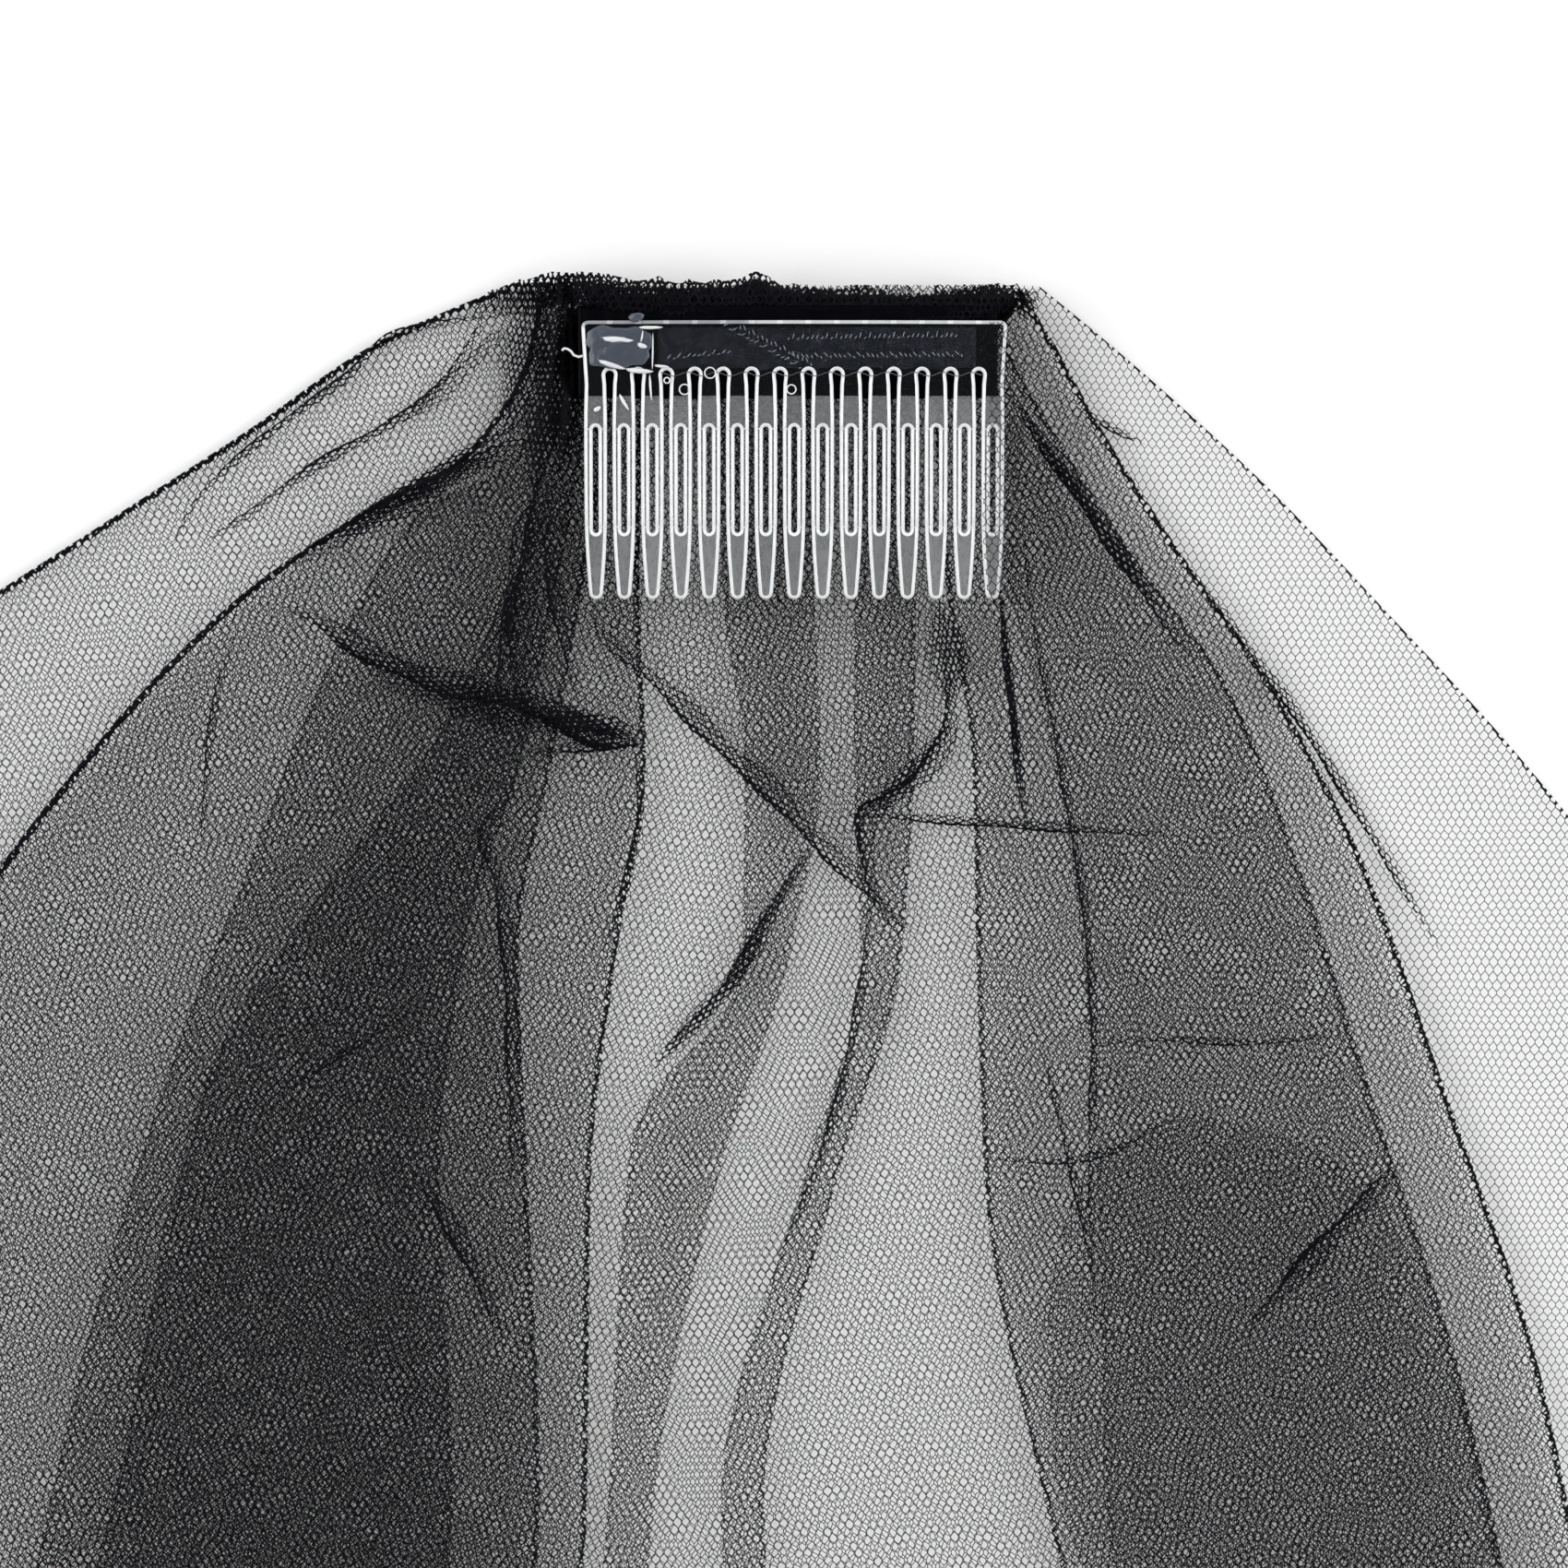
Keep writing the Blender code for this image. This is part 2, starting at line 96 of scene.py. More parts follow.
def new_material(name, colour, roughness, **inputs):
    """A material whose surface shader has these plain settings; returns it with its shader."""
    material = bpy.data.materials.new(name)
    material.use_nodes = True
    shader = material.node_tree.nodes["Principled BSDF"]
    shader.inputs["Base Color"].default_value = linear(colour)
    shader.inputs["Roughness"].default_value = roughness
    for socket, value in inputs.items():
        shader.inputs[socket.replace("_", " ")].default_value = value
    return material, shader


def new_piece(name, bm, material, body="root", replaces=None):
    """Makes an object of a finished bmesh that rides on its body."""
    mesh = bpy.data.meshes.new(name)
    bm.to_mesh(mesh)
    bm.free()
    mesh.materials.append(material)
    mesh.shade_smooth()
    piece = bpy.data.objects.new(name, mesh)
    bpy.context.scene.collection.objects.link(piece)
    if body:
        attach(piece, body)
    if replaces:
        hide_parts(replaces)
    return piece


# Matt white paper: no grain shows, only a trace of unevenness in its white.
white_paper, paper_shader = new_material("matt_white_paper", "#f6f6f6", 0.9, Specular_IOR_Level=0.0)
paper_place = add_node(white_paper, "ShaderNodeTexCoord")
paper_cloud = add_node(white_paper, "ShaderNodeTexNoise", {"Scale": 6.0, "Detail": 1.0},
                       {"Vector": paper_place.outputs["Object"]})
paper_white = add_node(white_paper, "ShaderNodeMapRange", {"To Min": 0.93, "To Max": 0.95},
                       {"Value": paper_cloud.outputs["Fac"]})
white_paper.node_tree.links.new(paper_white.outputs["Result"], paper_shader.inputs["Base Color"])
bm = bmesh.new()
bmesh.ops.create_grid(bm, x_segments=1, y_segments=1, size=FLOOR_HALF_SIZE)
bmesh.ops.translate(bm, verts=bm.verts, vec=(0.0, 0.0, -FLOOR_DROP))
new_piece("floor", bm, white_paper, body=None)

world = bpy.data.worlds.new("pale_room")
world.use_nodes = True
room_way = add_node(world, "ShaderNodeTexCoord")
room_height = add_node(world, "ShaderNodeSeparateXYZ", None, {0: room_way.outputs["Generated"]})
room_level = add_node(world, "ShaderNodeMapRange",
                      {"From Min": 0.80, "From Max": 0.97, "To Min": ROOM_LIGHT, "To Max": OVERHEAD_LIGHT},
                      {"Value": room_height.outputs["Z"]}, interpolation_type="SMOOTHSTEP")
room_light = world.node_tree.nodes["Background"]
room_light.inputs["Color"].default_value = (1.0, 1.0, 1.0, 1.0)
world.node_tree.links.new(room_level.outputs["Result"], room_light.inputs["Strength"])
bpy.context.scene.world = world
for side in (-1, 1):
    lamp_data = bpy.data.lights.new("side_lamp", "SUN")
    lamp_data.energy = LAMP_LIGHT
    lamp_data.angle = LAMP_SPREAD
    lamp = bpy.data.objects.new("side_lamp", lamp_data)
    lamp.rotation_euler = (LAMP_LEAN, side * LAMP_TILT, 0.0)
    bpy.context.scene.collection.objects.link(lamp)
bpy.context.scene.view_settings.view_transform = "Standard"
bpy.context.scene.cycles.transparent_max_bounces = 28


# The veil is one cloth of soft nylon tulle, cut plain at its hem, gathered on a thread across its top and
# folded to and fro under the comb. It lies flat, its folds stacked on each other in one order.
COMB_WIDTH = 0.075
HALF_COMB = COMB_WIDTH / 2
VEIL_LENGTH = 2.75
NEAR_FAN_LENGTH = 0.220
TRAIN_HALF_WIDTH = 0.325
GATHER_LINE = 0.0070
STEEPEST_SPREAD = 0.97
TULLE_MIDDLE = 0.0005
LAYER_PITCH = 0.0014
SETTLE_LENGTH = 0.008
FOLD_MARGIN = 0.0006
CELL_COLUMNS = 6
NEAR_ROW_STEP = 0.0034
NEAR_ROWS_END = 0.31
TRAIN_ROWS_GAP = 0.006
TRAIN_ROW_COUNT = 34
EDGE_SHARE = 0.02
NEAR_TRACE_STEP = 0.001
TRAIN_TRACE_STEP = 0.01
# Where the cloth turns over at a fold, in degrees round its edge
TURN_ANGLES = (45, 90, 135)

# Where each fold or hem lies, from left to right. The stations of the near fan are shares of its length
# and their places are shares of half the comb's width; those of the train are shares of the length below
# the near fan, and their places are shares of half the train's width.
NEAR_STATIONS = (0.0, 0.055, 0.136, 0.25, 0.386, 0.545, 0.727, 1.0)
TRAIN_STATIONS = (0.051, 0.229, 1.0)
FOLD_TABLE = {
    # fold            gather  ribbon teeth  tips   reach1 reach2 reach3 fan     train1 train2 hem
    "left_side":      ((-1.30, -1.60, -2.03, -2.58, -3.25, -4.03, -4.88, -6.10), (-0.83, -0.95, -1.03)),
    "left_line":      ((-1.19, -1.24, -1.47, -2.03, -2.68, -3.32, -3.96, -4.75), (-0.60, -0.62, -0.63)),
    "left_second":    ((-1.09, -1.12, -1.27, -1.81, -2.20, -2.54, -2.93, -3.38), (-0.46, -0.53, -0.585)),
    "left_third":     ((-0.98, -1.02, -1.10, -1.33, -1.67, -2.22, -2.77, -3.12), (-0.43, -0.50, -0.55)),
    "left_inner_a":   ((-0.87, -0.94, -1.02, -1.14, -1.30, -1.57, -1.69, -1.63), (-0.30, -0.41, -0.49)),
    "left_inner_b":   ((-0.76, -0.84, -0.91, -1.02, -1.16, -1.32, -1.28, -1.22), (-0.255, -0.38, -0.46)),
    "centre_left":    ((-0.63, -0.68, -0.74, -0.75, -0.72, -0.86, -0.98, -1.00), (-0.215, -0.335, -0.415)),
    "band_left":      ((-0.39, -0.37, -0.34, -0.32, -0.22, -0.23, -0.76, -0.86), (-0.125, -0.09, -0.045)),
    "band_right":     ((0.04, 0.05, 0.07, 0.08, 0.11, -0.04, -0.37, -0.68), (-0.10, -0.06, -0.01)),
    "pinch_left":     ((0.30, 0.29, 0.29, 0.30, 0.30, 0.33, 0.06, -0.33), (0.025, 0.17, 0.30)),
    "pinch_right":    ((0.54, 0.54, 0.55, 0.56, 0.55, 0.49, 0.19, -0.16), (0.05, 0.20, 0.33)),
    "centre_right":   ((0.68, 0.68, 0.69, 0.74, 0.86, 0.88, 0.92, 1.22), (0.25, 0.445, 0.605)),
    "inner_hem":      ((0.80, 0.82, 0.88, 1.02, 1.22, 1.36, 1.43, 1.48), (0.28, 0.475, 0.635)),
    "right_second":   ((0.92, 1.00, 1.23, 1.59, 2.05, 2.39, 2.71, 3.18), (0.435, 0.565, 0.685)),
    "right_line":     ((1.04, 1.21, 1.44, 1.80, 2.25, 2.68, 3.04, 3.54), (0.47, 0.60, 0.715)),
    "outer_hem":      ((1.16, 1.41, 1.77, 2.26, 2.81, 3.44, 4.10, 4.96), (0.66, 0.83, 0.96)),
}
# The way the cloth goes from its inner hem, on top of the stack, to its outer hem, on the floor
CLOTH_PATH = (
    "inner_hem", "right_second", "centre_right", "right_line", "pinch_left", "pinch_right",
    "band_left", "band_right", "left_third", "centre_left", "left_second", "left_inner_a",
    "left_line", "left_inner_b", "left_side", "outer_hem",
)

# How hard each fold or hem is pressed, from 0 for a soft bend to 1 for net bunched into a dark line
FOLD_PRESS = {
    "left_side": 0.42, "left_line": 0.50, "left_second": 0.05, "left_third": 0.03, "left_inner_a": 0.05,
    "left_inner_b": 0.14, "centre_left": 0.20, "band_left": 0.03, "band_right": 0.02, "pinch_left": 0.03,
    "pinch_right": 0.08, "centre_right": 0.16, "inner_hem": 0.12, "right_second": 0.14, "right_line": 0.28,
    "outer_hem": 0.50,
}


def monotone_slopes(stations, values):
    """Slopes of a smooth curve through the values that never swings past them."""
    steps = np.diff(stations)
    secants = np.diff(values) / steps
    slopes = np.zeros(len(values))
    slopes[0] = secants[0]
    slopes[-1] = secants[-1]
    for i in range(1, len(values) - 1):
        if secants[i - 1] * secants[i] > 0:
            before = 2 * steps[i] + steps[i - 1]
            after = steps[i] + 2 * steps[i - 1]
            slopes[i] = (before + after) / (before / secants[i - 1] + after / secants[i])
    return slopes


def smooth_curve(stations, values, at):
    """Cubic curve through the values at the stations, read at the given distances."""
    stations = np.asarray(stations, float)
    values = np.asarray(values, float)
    slopes = monotone_slopes(stations, values)
    span = np.clip(np.searchsorted(stations, at, side="right") - 1, 0, len(stations) - 2)
    width = stations[span + 1] - stations[span]
    t = (at - stations[span]) / width
    start = (1 + 2 * t) * (1 - t) ** 2 * values[span] + t * (1 - t) ** 2 * width * slopes[span]
    end = t * t * (3 - 2 * t) * values[span + 1] + t * t * (t - 1) * width * slopes[span + 1]
    return start + end


def fold_lines(distances):
    """Place of every fold line at the given distances down the cloth, as an array of fold, row, xy."""
    stations = [share * NEAR_FAN_LENGTH for share in NEAR_STATIONS]
    stations += [NEAR_FAN_LENGTH + share * (VEIL_LENGTH - NEAR_FAN_LENGTH) for share in TRAIN_STATIONS]
    fine = np.concatenate([np.arange(0, NEAR_FAN_LENGTH, NEAR_TRACE_STEP),
                           np.arange(NEAR_FAN_LENGTH, VEIL_LENGTH, TRAIN_TRACE_STEP), [VEIL_LENGTH]])
    lines = []
    for near, train in FOLD_TABLE.values():
        places = [share * HALF_COMB for share in near]
        places += [share * TRAIN_HALF_WIDTH for share in train]
        across = smooth_curve(stations, places, fine)
        lean = np.clip(np.diff(across) / np.diff(fine), -STEEPEST_SPREAD, STEEPEST_SPREAD)
        down = np.concatenate([[0.0], np.cumsum(np.sqrt(1 - lean ** 2) * np.diff(fine))])
        lines.append(np.stack([np.interp(distances, fine, across),
                               GATHER_LINE - np.interp(distances, fine, down)], axis=1))
    return np.array(lines)


def count_layers(spans, first, last):
    """How many of these panels lie over the ground between two fold lines."""
    return sum(min(span) <= first and last <= max(span) for span in spans)


fold_names = list(FOLD_TABLE)
fold_order = {name: i for i, name in enumerate(fold_names)}
path_places = [fold_order[name] for name in CLOTH_PATH]
panels = list(zip(path_places[:-1], path_places[1:]))
row_distances = np.concatenate([np.arange(0.0, NEAR_ROWS_END, NEAR_ROW_STEP),
                                np.geomspace(NEAR_ROWS_END + TRAIN_ROWS_GAP, VEIL_LENGTH, TRAIN_ROW_COUNT)])
lines = fold_lines(row_distances)
tangents = np.gradient(lines, axis=1)
tangents /= np.linalg.norm(tangents, axis=2, keepdims=True)

# Each column of the cloth: its place, height, how hard it is pressed, and the panel it belongs to.
# Along a panel, a column is a share of the way between two fold lines. It lies on what is under it, and
# rises over the folds beside it.
column_points = []
column_creases = []
column_strips = []
for number, (first, last) in enumerate(panels):
    way = 1 if last > first else -1
    below = panels[number + 1:]
    for line in range(first, last, way):
        left, right = sorted((line, line + way))
        gap = np.linalg.norm(lines[right] - lines[left], axis=1)
        shares = [(i / CELL_COLUMNS, 0.0) for i in range(CELL_COLUMNS)]
        if line == first:
            shares.insert(1, (0.0, FOLD_MARGIN))
        if line + way == last:
            shares.append((1.0, -FOLD_MARGIN))
        shares.append((1.0, 0.0))
        bed = count_layers(below, left, right)
        rise_left = count_layers(below, left, left)
        rise_right = count_layers(below, right, right)
        start = 0 if line == first else 1
        for share, margin in shares[start:]:
            along = np.clip(share + margin / gap, EDGE_SHARE if margin > 0 else 0.0,
                            1 - EDGE_SHARE if margin < 0 else 1.0)
            along = along if way > 0 else 1 - along
            place = lines[left] + along[:, None] * (lines[right] - lines[left])
            nearest = np.minimum(along, 1 - along) * gap
            settled = np.clip(nearest / SETTLE_LENGTH, 0, 1)
            settled = settled * settled * (3 - 2 * settled)
            held = rise_left + along * (rise_right - rise_left)
            height = TULLE_MIDDLE + LAYER_PITCH * (settled * bed + (1 - settled) * held)
            column_points.append(np.column_stack([place, height]))
            edge = None
            if line == first and share == 0.0 and margin == 0.0:
                edge = first
            if line + way == last and share == 1.0 and margin == 0.0:
                edge = last
            column_creases.append(0.0 if edge is None else FOLD_PRESS[fold_names[edge]])
            column_strips.append(number)
    if number < len(panels) - 1:
        radius = LAYER_PITCH / 2
        outward = np.column_stack([-tangents[last][:, 1], tangents[last][:, 0]]) * way
        outward *= np.sign(outward[:, :1]) * way
        end = column_points[-1]
        for angle in TURN_ANGLES:
            turn = math.radians(angle)
            place = end[:, :2] + outward * radius * math.sin(turn)
            height = end[:, 2] - radius * (1 - math.cos(turn))
            column_points.append(np.column_stack([place, height]))
            column_creases.append(FOLD_PRESS[fold_names[last]])
            column_strips.append(number)
cloth = np.array(column_points)
columns, rows = cloth.shape[:2]

# Soft swells run down the cloth, the same in every layer, so that the stack lies unevenly on the floor.
SWELL_HEIGHT = 0.0012
SWELL_START = 0.075
SWELL_RUN = 0.12
SWELL_WAVES = (
    # share of the height, radians for each metre across and along the veil, and shift
    (0.6, 95, 21, 0.0), (0.4, 41, -33, 1.3),
)
down_share = np.clip((row_distances - SWELL_START) / SWELL_RUN, 0, 1)
swell = 1 + sum(share * np.sin(cloth[..., 0] * across + cloth[..., 1] * down + shift)
                for share, across, down, shift in SWELL_WAVES)
cloth[..., 2] += SWELL_HEIGHT / 2 * swell * down_share[None, :]

# The net's own measure, in metres: each panel lies flat, so its threads run straight across it and the
# holes keep their size where the cloth fans out. Folding turns the grain a little from panel to panel.
GRAIN_TURN = 0.30
GRAIN_STEP = 2.4
GRAIN_SHIFT_ACROSS = 0.0137
GRAIN_SHIFT_ALONG = 0.0071
across_of_face = np.zeros((columns - 1, rows, 2))
along_of_face = np.zeros((columns - 1, rows, 2))
for face in range(columns - 1):
    number = column_strips[face + 1]
    grain = GRAIN_TURN * math.sin(GRAIN_STEP * (len(panels) - 1 - number))
    for end in (0, 1):
        place = cloth[face + end]
        across_of_face[face, :, end] = place[:, 0] * math.cos(grain) + place[:, 1] * math.sin(grain)
        along_of_face[face, :, end] = place[:, 1] * math.cos(grain) - place[:, 0] * math.sin(grain)
    across_of_face[face] += GRAIN_SHIFT_ACROSS * number
    along_of_face[face] += GRAIN_SHIFT_ALONG * number


# Nylon bobbinet tulle, heat set: six-sided holes about 1.5 mm across between bare black strands, so each
# layer darkens what is under it a little. Where it is folded or cut, the strands bunch into a dark line.
NET_CELL = 0.00146
STRAND_SHARE = 0.099
FOLD_STRAND_SHARE = 0.80
STRAND_SOFTNESS = 0.030
# A worn net is drawn out a little: its holes lean from a hexagon towards a diamond, and its rows wander
HOLE_LEAN = 0.76
HOLE_SLANT = (HOLE_LEAN, (0.5 - 0.25 * HOLE_LEAN) / (math.sqrt(3) / 4), 0.0)
ROW_WANDER = (0.8, 0.8, 0.0)

black_net, net_shader = new_material("nylon_bobbinet_tulle", "#0b0b0e", 0.55, Specular_IOR_Level=0.03)
net_links = black_net.node_tree.links
net_uv = add_node(black_net, "ShaderNodeUVMap", uv_map="net")
net_scaled = add_node(black_net, "ShaderNodeMapping", {"Scale": (1 / NET_CELL, 1 / NET_CELL, 1.0)},
                      {"Vector": net_uv.outputs["UV"]}, vector_type="POINT")
net_wander = add_node(black_net, "ShaderNodeTexNoise", {"Scale": 0.14, "Detail": 0.0},
                      {"Vector": net_scaled.outputs["Vector"]}, noise_dimensions="2D")
net_shift = add_node(black_net, "ShaderNodeVectorMath", {1: (0.5, 0.5, 0.5)},
                     {0: net_wander.outputs["Color"]}, operation="SUBTRACT")
net_place = add_node(black_net, "ShaderNodeVectorMath", {1: ROW_WANDER},
                     {0: net_shift.outputs["Vector"], 2: net_scaled.outputs["Vector"]},
                     operation="MULTIPLY_ADD")
# The holes' middles lie on two grids, the second moved by half a step both ways
HEX_HALF = (0.5, math.sqrt(3) / 2, 0.5)
HEX_BACK = (-0.5, -math.sqrt(3) / 2, -0.5)
net_moved = add_node(black_net, "ShaderNodeVectorMath", {1: HEX_HALF}, {0: net_place.outputs["Vector"]},
                     operation="SUBTRACT")
hex_distances = []
for source in (net_place, net_moved):
    hole = add_node(black_net, "ShaderNodeVectorMath", {1: HEX_HALF, 2: HEX_BACK},
                    {0: source.outputs["Vector"]}, operation="WRAP")
    mirrored = add_node(black_net, "ShaderNodeVectorMath", None, {0: hole.outputs["Vector"]},
                        operation="ABSOLUTE")
    slanted = add_node(black_net, "ShaderNodeVectorMath", {1: HOLE_SLANT},
                       {0: mirrored.outputs["Vector"]}, operation="DOT_PRODUCT")
    straight = add_node(black_net, "ShaderNodeSeparateXYZ", None, {0: mirrored.outputs["Vector"]})
    hex_distances.append(add_node(black_net, "ShaderNodeMath", None, {0: slanted.outputs["Value"],
                                                                      1: straight.outputs["X"]},
                                  operation="MAXIMUM"))
hole_distance = add_node(black_net, "ShaderNodeMath", None, {0: hex_distances[0].outputs["Value"],
                                                             1: hex_distances[1].outputs["Value"]},
                         operation="MINIMUM")
net_fold = add_node(black_net, "ShaderNodeAttribute", attribute_name="bunching", attribute_type="GEOMETRY")
strand_half = add_node(black_net, "ShaderNodeMath", {1: FOLD_STRAND_SHARE / 2, 2: STRAND_SHARE / 2},
                       {0: net_fold.outputs["Fac"]}, operation="MULTIPLY_ADD")
strand_reach = add_node(black_net, "ShaderNodeMath", {1: 0.5}, {0: hole_distance.outputs["Value"]},
                        operation="SUBTRACT")
strand_depth = add_node(black_net, "ShaderNodeMath", None, {0: strand_reach.outputs["Value"],
                                                            1: strand_half.outputs["Value"]}, operation="ADD")
strand_cover = add_node(black_net, "ShaderNodeMath", {1: 1 / STRAND_SOFTNESS, 2: 0.5},
                        {0: strand_depth.outputs["Value"]}, operation="MULTIPLY_ADD", use_clamp=True)
net_links.new(strand_cover.outputs["Value"], net_shader.inputs["Alpha"])
net_tint = add_node(black_net, "ShaderNodeMix", {"A": linear("#060609"), "B": linear("#101116")},
                    {"Factor": net_wander.outputs["Fac"]}, data_type="RGBA")
net_links.new(net_tint.outputs["Result"], net_shader.inputs["Base Color"])


def net_sheet(name, points, bunching, across, along, replaces=None):
    """A sheet of net from a grid of places, with its bunching and the net's own measure on each face.

    points is columns by rows by xyz. across and along give the net's measure on both sides of each face.
    """
    column_count, row_count = points.shape[:2]
    bm = bmesh.new()
    bmesh.ops.create_grid(bm, x_segments=column_count - 1, y_segments=row_count - 1, size=1.0)
    piece = new_piece(name, bm, black_net, replaces=replaces)
    mesh = piece.data
    flat = np.empty(len(mesh.vertices) * 3)
    mesh.vertices.foreach_get("co", flat)
    flat = flat.reshape(-1, 3)
    column_of = np.rint((flat[:, 0] + 1) / 2 * (column_count - 1)).astype(int)
    row_of = np.rint((1 - flat[:, 1]) / 2 * (row_count - 1)).astype(int)
    mesh.vertices.foreach_set("co", points[column_of, row_of].ravel())
    layer = mesh.attributes.new("bunching", "FLOAT", "POINT")
    layer.data.foreach_set("value", np.broadcast_to(bunching, points.shape[:2])[column_of, row_of].ravel())
    loops = np.empty(len(mesh.loops), int)
    mesh.loops.foreach_get("vertex_index", loops)
    loop_columns = column_of[loops].reshape(-1, 4)
    face_columns = loop_columns.min(axis=1)
    sides = (loop_columns - face_columns[:, None]).ravel()
    face_of_loop = np.repeat(face_columns, 4)
    rows_of_loop = row_of[loops]
    uv = np.column_stack([measure[face_of_loop, rows_of_loop, sides] for measure in (across, along)])
    mesh.uv_layers.new(name="net").data.foreach_set("uv", uv.ravel())
    mesh.update()
    return piece


veil = net_sheet("veil", cloth, np.array(column_creases)[:, None], across_of_face, along_of_face,
                 "tulle_veil")


# The creases are pinches and ruffles of the same net, where the gathered cloth bends over its own folds.
# Each is a narrow ridge of bunched net that lies on the top layer and runs out to nothing at its ends.
CREASES = {
    # crease: width, bunching, then places in millimetres across and along the veil
    "long_diagonal": (3.6, 0.75, ((-36.0, -53.0), (-31.4, -57.7), (-24.4, -63.2), (-17.4, -70.1),
                                  (-10.4, -77.1), (-4.2, -82.5), (3.6, -91.1), (11.3, -98.5),
                                  (20.6, -107.3))),
    "middle_bend": (3.4, 0.75, ((27.4, -55.7), (27.8, -70.3), (24.2, -78.4), (16.1, -84.9), (12.5, -87.3),
                                (13.6, -99.5), (18.5, -107.6))),
    "cross_right": (1.6, 0.95, ((9.0, -87.0), (14.0, -87.2), (32.3, -88.4), (66.4, -90.6))),
    "left_sweep": (4.2, 0.90, ((-90.9, -49.8), (-84.6, -52.4), (-73.5, -59.3), (-65.6, -62.5),
                               (-55.0, -65.4), (-45.0, -68.0), (-36.0, -71.2), (-27.8, -73.5))),
    "beside_comb": (4.5, 0.55, ((-42.4, -21.6), (-46.4, -41.1), (-48.9, -57.3), (-46.9, -71.9))),
    "left_fall": (2.6, 0.85, ((-50.0, -83.3), (-55.0, -90.6), (-52.1, -99.5), (-50.0, -122.2),
                              (-49.5, -151.5))),
    "left_edge_dark": (4.2, 0.80, ((-46.0, -20.5), (-53.4, -23.4), (-58.7, -26.1), (-67.7, -30.8),
                                   (-74.5, -34.6), (-81.3, -38.2), (-88.8, -42.4))),
    "upper_left": (1.8, 1.0, ((-54.5, 2.0), (-57.6, -3.4), (-65.6, -13.5), (-73.5, -18.7), (-81.3, -22.9),
                              (-90.9, -29.2), (-97.2, -33.9), (-104.5, -38.6))),
    "upper_left_strip": (3.4, 0.30, ((-52.0, -1.0), (-57.0, -6.4), (-62.5, -11.8), (-68.0, -16.0))),
    "shoulder_line": (1.5, 1.0, ((-51.3, 1.6), (-58.0, 1.0), (-66.0, -0.3), (-71.9, -1.8), (-79.2, -9.0),
                                 (-87.2, -14.8), (-95.1, -20.8), (-102.4, -27.1), (-106.2, -31.3),
                                 (-110.4, -39.3))),
    "inner_right": (1.7, 1.0, ((36.4, -46.5), (37.0, -51.5), (37.6, -57.8), (39.1, -71.4), (40.3, -82.0),
                               (41.6, -92.0))),
    "right_rib": (1.4, 0.95, ((40.3, -33.9), (41.2, -41.9), (42.4, -52.4), (45.0, -65.7), (49.4, -89.8),
                              (51.8, -106.0), (53.1, -127.1), (52.6, -150.0), (53.4, -178.0))),
    "right_rib_low": (1.3, 0.85, ((44.0, -128.0), (48.5, -146.6), (51.0, -158.0), (53.4, -170.9))),
    "comb_side_outer": (1.5, 1.0, ((-45.6, -31.0), (-49.2, -36.7), (-50.3, -47.2), (-52.1, -63.0),
                                   (-53.2, -72.0))),
    "comb_side_inner": (1.4, 1.0, ((-44.0, -18.7), (-45.5, -28.7), (-48.2, -44.5), (-50.3, -63.0))),
    # Painted shade: a ridge of bunched net laid where a fold beside the comb casts shade.
    "comb_side_shade": (2.4, 0.75, ((-42.6, -33.0), (-43.6, -40.0), (-42.4, -47.2), (-40.3, -57.8),
                                    (-38.5, -66.0))),
    "left_knot": (5.5, 0.85, ((-46.0, -69.0), (-38.0, -71.5), (-31.0, -73.0), (-26.5, -73.8))),
    "left_knot_foot": (1.6, 0.70, ((-48.0, -76.0), (-40.0, -75.2), (-33.0, -75.0), (-27.0, -73.2))),
    "left_drop": (1.5, 0.80, ((-28.0, -73.5), (-27.2, -85.0), (-29.5, -98.0), (-34.0, -112.0))),
    "band_fall": (2.2, 0.70, ((2.8, -93.3), (-5.0, -105.8), (-11.2, -116.7), (-17.4, -123.7),
                              (-24.4, -130.7))),
    "pinch_fall": (1.6, 0.90, ((13.6, -99.7), (12.8, -110.6), (10.6, -125.3), (8.3, -136.2), (5.2, -146.3),
                               (1.9, -155.5), (-3.4, -166.4))),
    "far_left_fine": (1.4, 0.75, ((-99.0, -55.0), (-102.2, -65.0), (-104.0, -78.0), (-105.0, -92.0))),
    "far_left_cross": (1.2, 0.65, ((-92.0, -137.0), (-78.0, -128.0), (-66.0, -121.0))),
    "sheer_line": (1.8, 0.90, ((69.3, -41.9), (75.6, -50.3), (87.2, -66.2), (100.5, -87.0),
                               (114.8, -110.9))),
    "sheer_curl": (1.1, 0.80, ((50.0, -13.5), (52.9, -16.1), (57.1, -18.7), (62.3, -21.1))),
    "corner_fold": (3.4, 0.85, ((108.0, -148.5), (98.9, -158.0), (87.5, -170.3), (80.0, -179.0))),
    "cross_low": (1.2, 0.70, ((53.4, -127.4), (66.0, -126.8), (80.0, -127.4), (97.0, -126.0))),
    "cross_lower": (1.3, 0.75, ((35.0, -147.9), (46.0, -148.6), (55.0, -147.0), (66.4, -140.9))),
    "second_line": (2.8, 0.85, ((37.8, -11.3), (42.4, -18.7), (47.6, -26.1), (53.4, -34.5), (58.8, -42.4),
                                (65.0, -51.5), (70.5, -59.0))),
    "left_foot": (3.0, 0.90, ((-67.0, -150.5), (-62.0, -157.5), (-57.6, -165.4), (-52.0, -178.0))),
}
CREASE_ROW_STEP = 0.0015
CREASE_RISE = 0.30
CREASE_LIFT = 0.0004
CREASE_FEWEST_ROWS = 8
CREASE_TAPER = 0.6
CREASE_END_WIDTH = 0.25
CREASE_WAVE = 0.25
CREASE_WAVE_TURN = 330
CREASE_FULLNESS = 1.6
CREASE_MEASURE_STEP = 0.003
